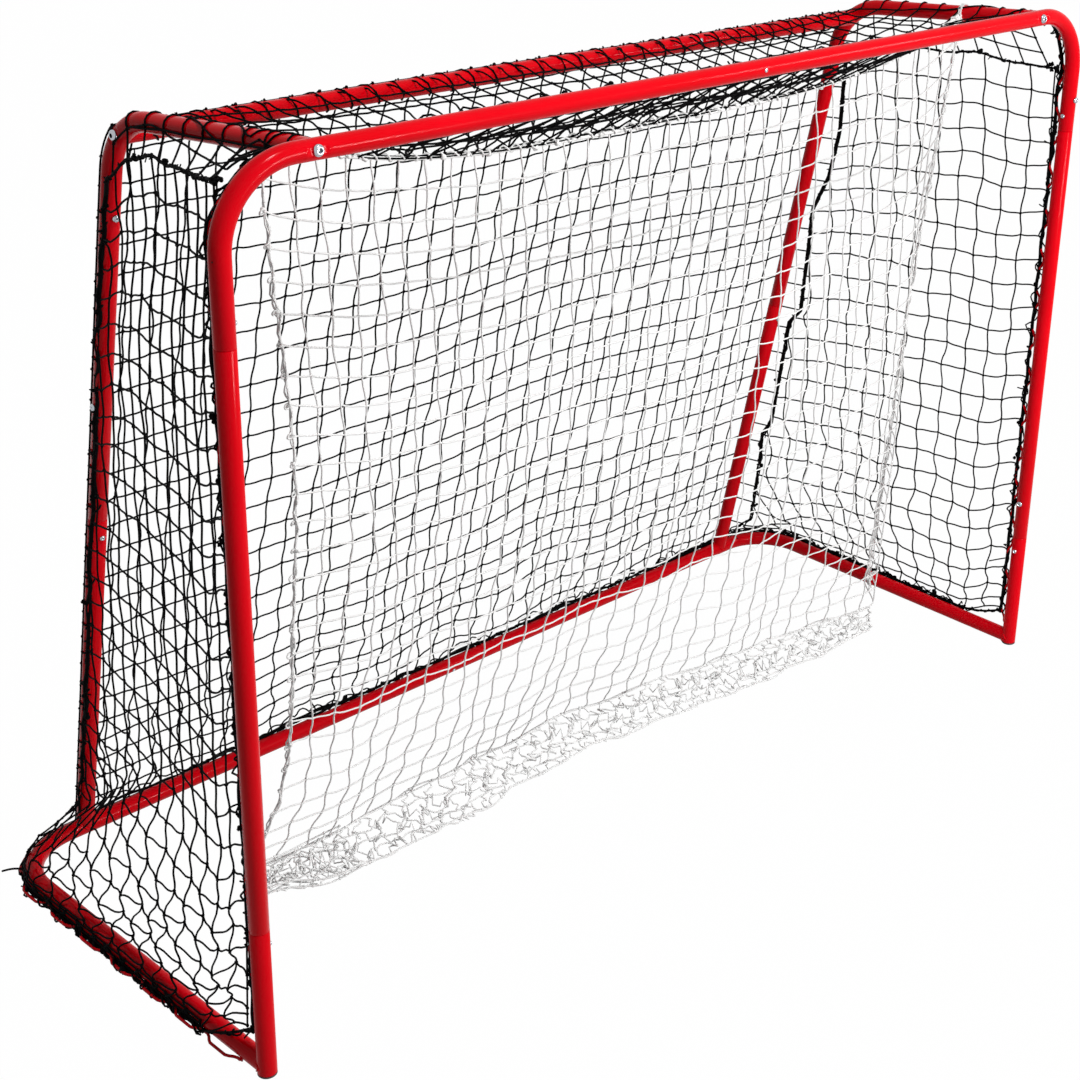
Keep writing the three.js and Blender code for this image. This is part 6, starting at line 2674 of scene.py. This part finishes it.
@dataclass
class Studio:
    """White room, lamps and camera."""

    fit: CameraFit = field(default_factory=CameraFit)
    ground: float = 0.0
    fill: float = 0.16
    reach: float = 40.0
    floor_grey: float = 0.48
    floor_white: float = 0.994

    def _board(self, name: str, corners: Sequence[Sequence[float]]) -> bpy.types.Object:
        """A flat board of the room.

        Args:
            name: Name of the board.
            corners: Its corners in order.

        Returns:
            The board.
        """
        mesh = bpy.data.meshes.new(name)
        mesh.from_pydata([tuple(c) for c in corners], [], [tuple(range(len(corners)))])
        board = bpy.data.objects.new(name, mesh)
        bpy.context.scene.collection.objects.link(board)
        board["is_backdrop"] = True
        return board

    @staticmethod
    def _shown(graph: Graph) -> bpy.types.NodeSocket:
        """1 for what the camera sees, straight or through a glossy or clear surface, and 0 for light.

        Args:
            graph: Node tree to add it to.

        Returns:
            The socket that gives it.
        """
        path = graph.add("ShaderNodeLightPath").outputs
        first = graph.math("MAXIMUM", path["Is Camera Ray"], path["Is Glossy Ray"])
        return graph.math("MAXIMUM", first, path["Is Transmission Ray"])

    def room(self) -> None:
        """A wide white floor that keeps a little of the shadow, under an even white surround."""
        far = self.reach
        floor = self._board("floor", [(-far, -far, self.ground), (far, -far, self.ground),
                                      (far, far, self.ground), (-far, far, self.ground)])
        white = bpy.data.materials.new("white_floor")
        white.use_nodes = True
        graph = MaterialGraph(white)
        grey = self.floor_grey
        graph.set(**{"Base Color": (grey, grey, grey, 1), "Roughness": 0.9, "Specular IOR Level": 0.1})
        plain = graph.out("ShaderNodeEmission", {"Color": (1, 1, 1, 1), "Strength": 1.0})
        share = graph.math("MULTIPLY", self._shown(graph), self.floor_white)
        both = graph.out("ShaderNodeMixShader", {0: share, 1: graph.shader.outputs[0], 2: plain})
        graph.tree.links.new(both, next(n for n in graph.tree.nodes if n.type == "OUTPUT_MATERIAL").inputs[0])
        floor.data.materials.append(white)

        world = bpy.data.worlds.new("white_surround")
        bpy.context.scene.world = world
        world.use_nodes = True
        graph = WorldGraph(world)
        sky = next(n for n in graph.tree.nodes if n.type == "BACKGROUND")
        sky.inputs["Color"].default_value = (1, 1, 1, 1)
        strength = graph.math("ADD", graph.math("MULTIPLY", self._shown(graph), 1.0 - self.fill), self.fill)
        graph.tree.links.new(strength, sky.inputs["Strength"])

    def lamp(self, name: str, place: Array, target: Array, size: tuple[float, float], power: float) -> None:
        """A rectangular area lamp that faces a target.

        Args:
            name: Name of the lamp.
            place: Where it hangs.
            target: Point that it faces.
            size: Width and height.
            power: Power in watts.
        """
        light = bpy.data.lights.new(name, "AREA")
        light.shape = "RECTANGLE"
        light.size, light.size_y = size
        light.energy = power
        lamp = bpy.data.objects.new(name, light)
        lamp.location = Vector(place)
        lamp.rotation_euler = (Vector(target) - Vector(place)).to_track_quat("-Z", "Y").to_euler()
        bpy.context.scene.collection.objects.link(lamp)

    def lamps(self) -> None:
        """Key from high in front, with a low lamp in front and one at the right."""
        middle = vec(0, 0, 0.6)
        self.lamp("key", vec(-0.3, -1.6, 3.6), middle, (0.5, 0.35), 54.0)
        self.lamp("front", vec(0.7, -2.5, 1.0), middle, (0.7, 0.5), 31.0)
        self.lamp("right", vec(2.3, -2.1, 1.6), middle, (0.7, 0.5), 16.0)

    def camera(self) -> None:
        """The photograph's camera."""
        fit = self.fit
        az, fall, roll = (math.radians(a) for a in (fit.azimuth, fit.fall, fit.roll))
        ahead = vec(math.sin(az) * math.cos(fall), math.cos(az) * math.cos(fall), -math.sin(fall))
        level = vec(math.cos(az), -math.sin(az), 0)
        above = np.cross(level, ahead)
        right = level * math.cos(roll) + above * math.sin(roll)
        up = -level * math.sin(roll) + above * math.cos(roll)
        data = bpy.data.cameras.new("photo_camera")
        data.sensor_width = 36.0
        data.lens = fit.focal_px / fit.frame_px * 36.0
        data.shift_x = (fit.frame_px / 2 - fit.centre_px[0]) / fit.frame_px
        data.shift_y = (fit.centre_px[1] - fit.frame_px / 2) / fit.frame_px
        data.clip_end = 100.0
        camera = bpy.data.objects.new("photo_camera", data)
        place = Vector(fit.place) + Vector((0, FRONT, 0))
        turn = Matrix((right, up, -ahead)).transposed()
        camera.matrix_world = Matrix.Translation(place) @ turn.to_4x4()
        bpy.context.scene.collection.objects.link(camera)
        bpy.context.scene.camera = camera

    def build(self) -> None:
        """Sets up the room, the lamps and the camera."""
        self.room()
        self.lamps()
        self.camera()
        bpy.context.scene.view_settings.view_transform = "Standard"


def write_sizes() -> None:
    """Works out the boxes of the CAD part and of the finished looks, and does nothing more with them."""
    boxes = {"cad": [list(corner) for corner in cad_box], "visual": [list(corner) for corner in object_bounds()]}


def main() -> None:
    """Builds the goal's looks, then the studio around it."""
    logging.basicConfig(level=logging.INFO, format="%(name)s %(message)s")
    maker, finishes = Maker(), Finishes()
    SteelFrame(maker, finishes).build()
    wires = NetWires(maker, finishes)
    wires.build()
    Fasteners(maker, finishes).build()
    BlackNet(maker, finishes, wires).build()
    DropNet(maker, finishes).build()
    Studio().build()
    write_sizes()


if __name__ == "__main__":
    main()
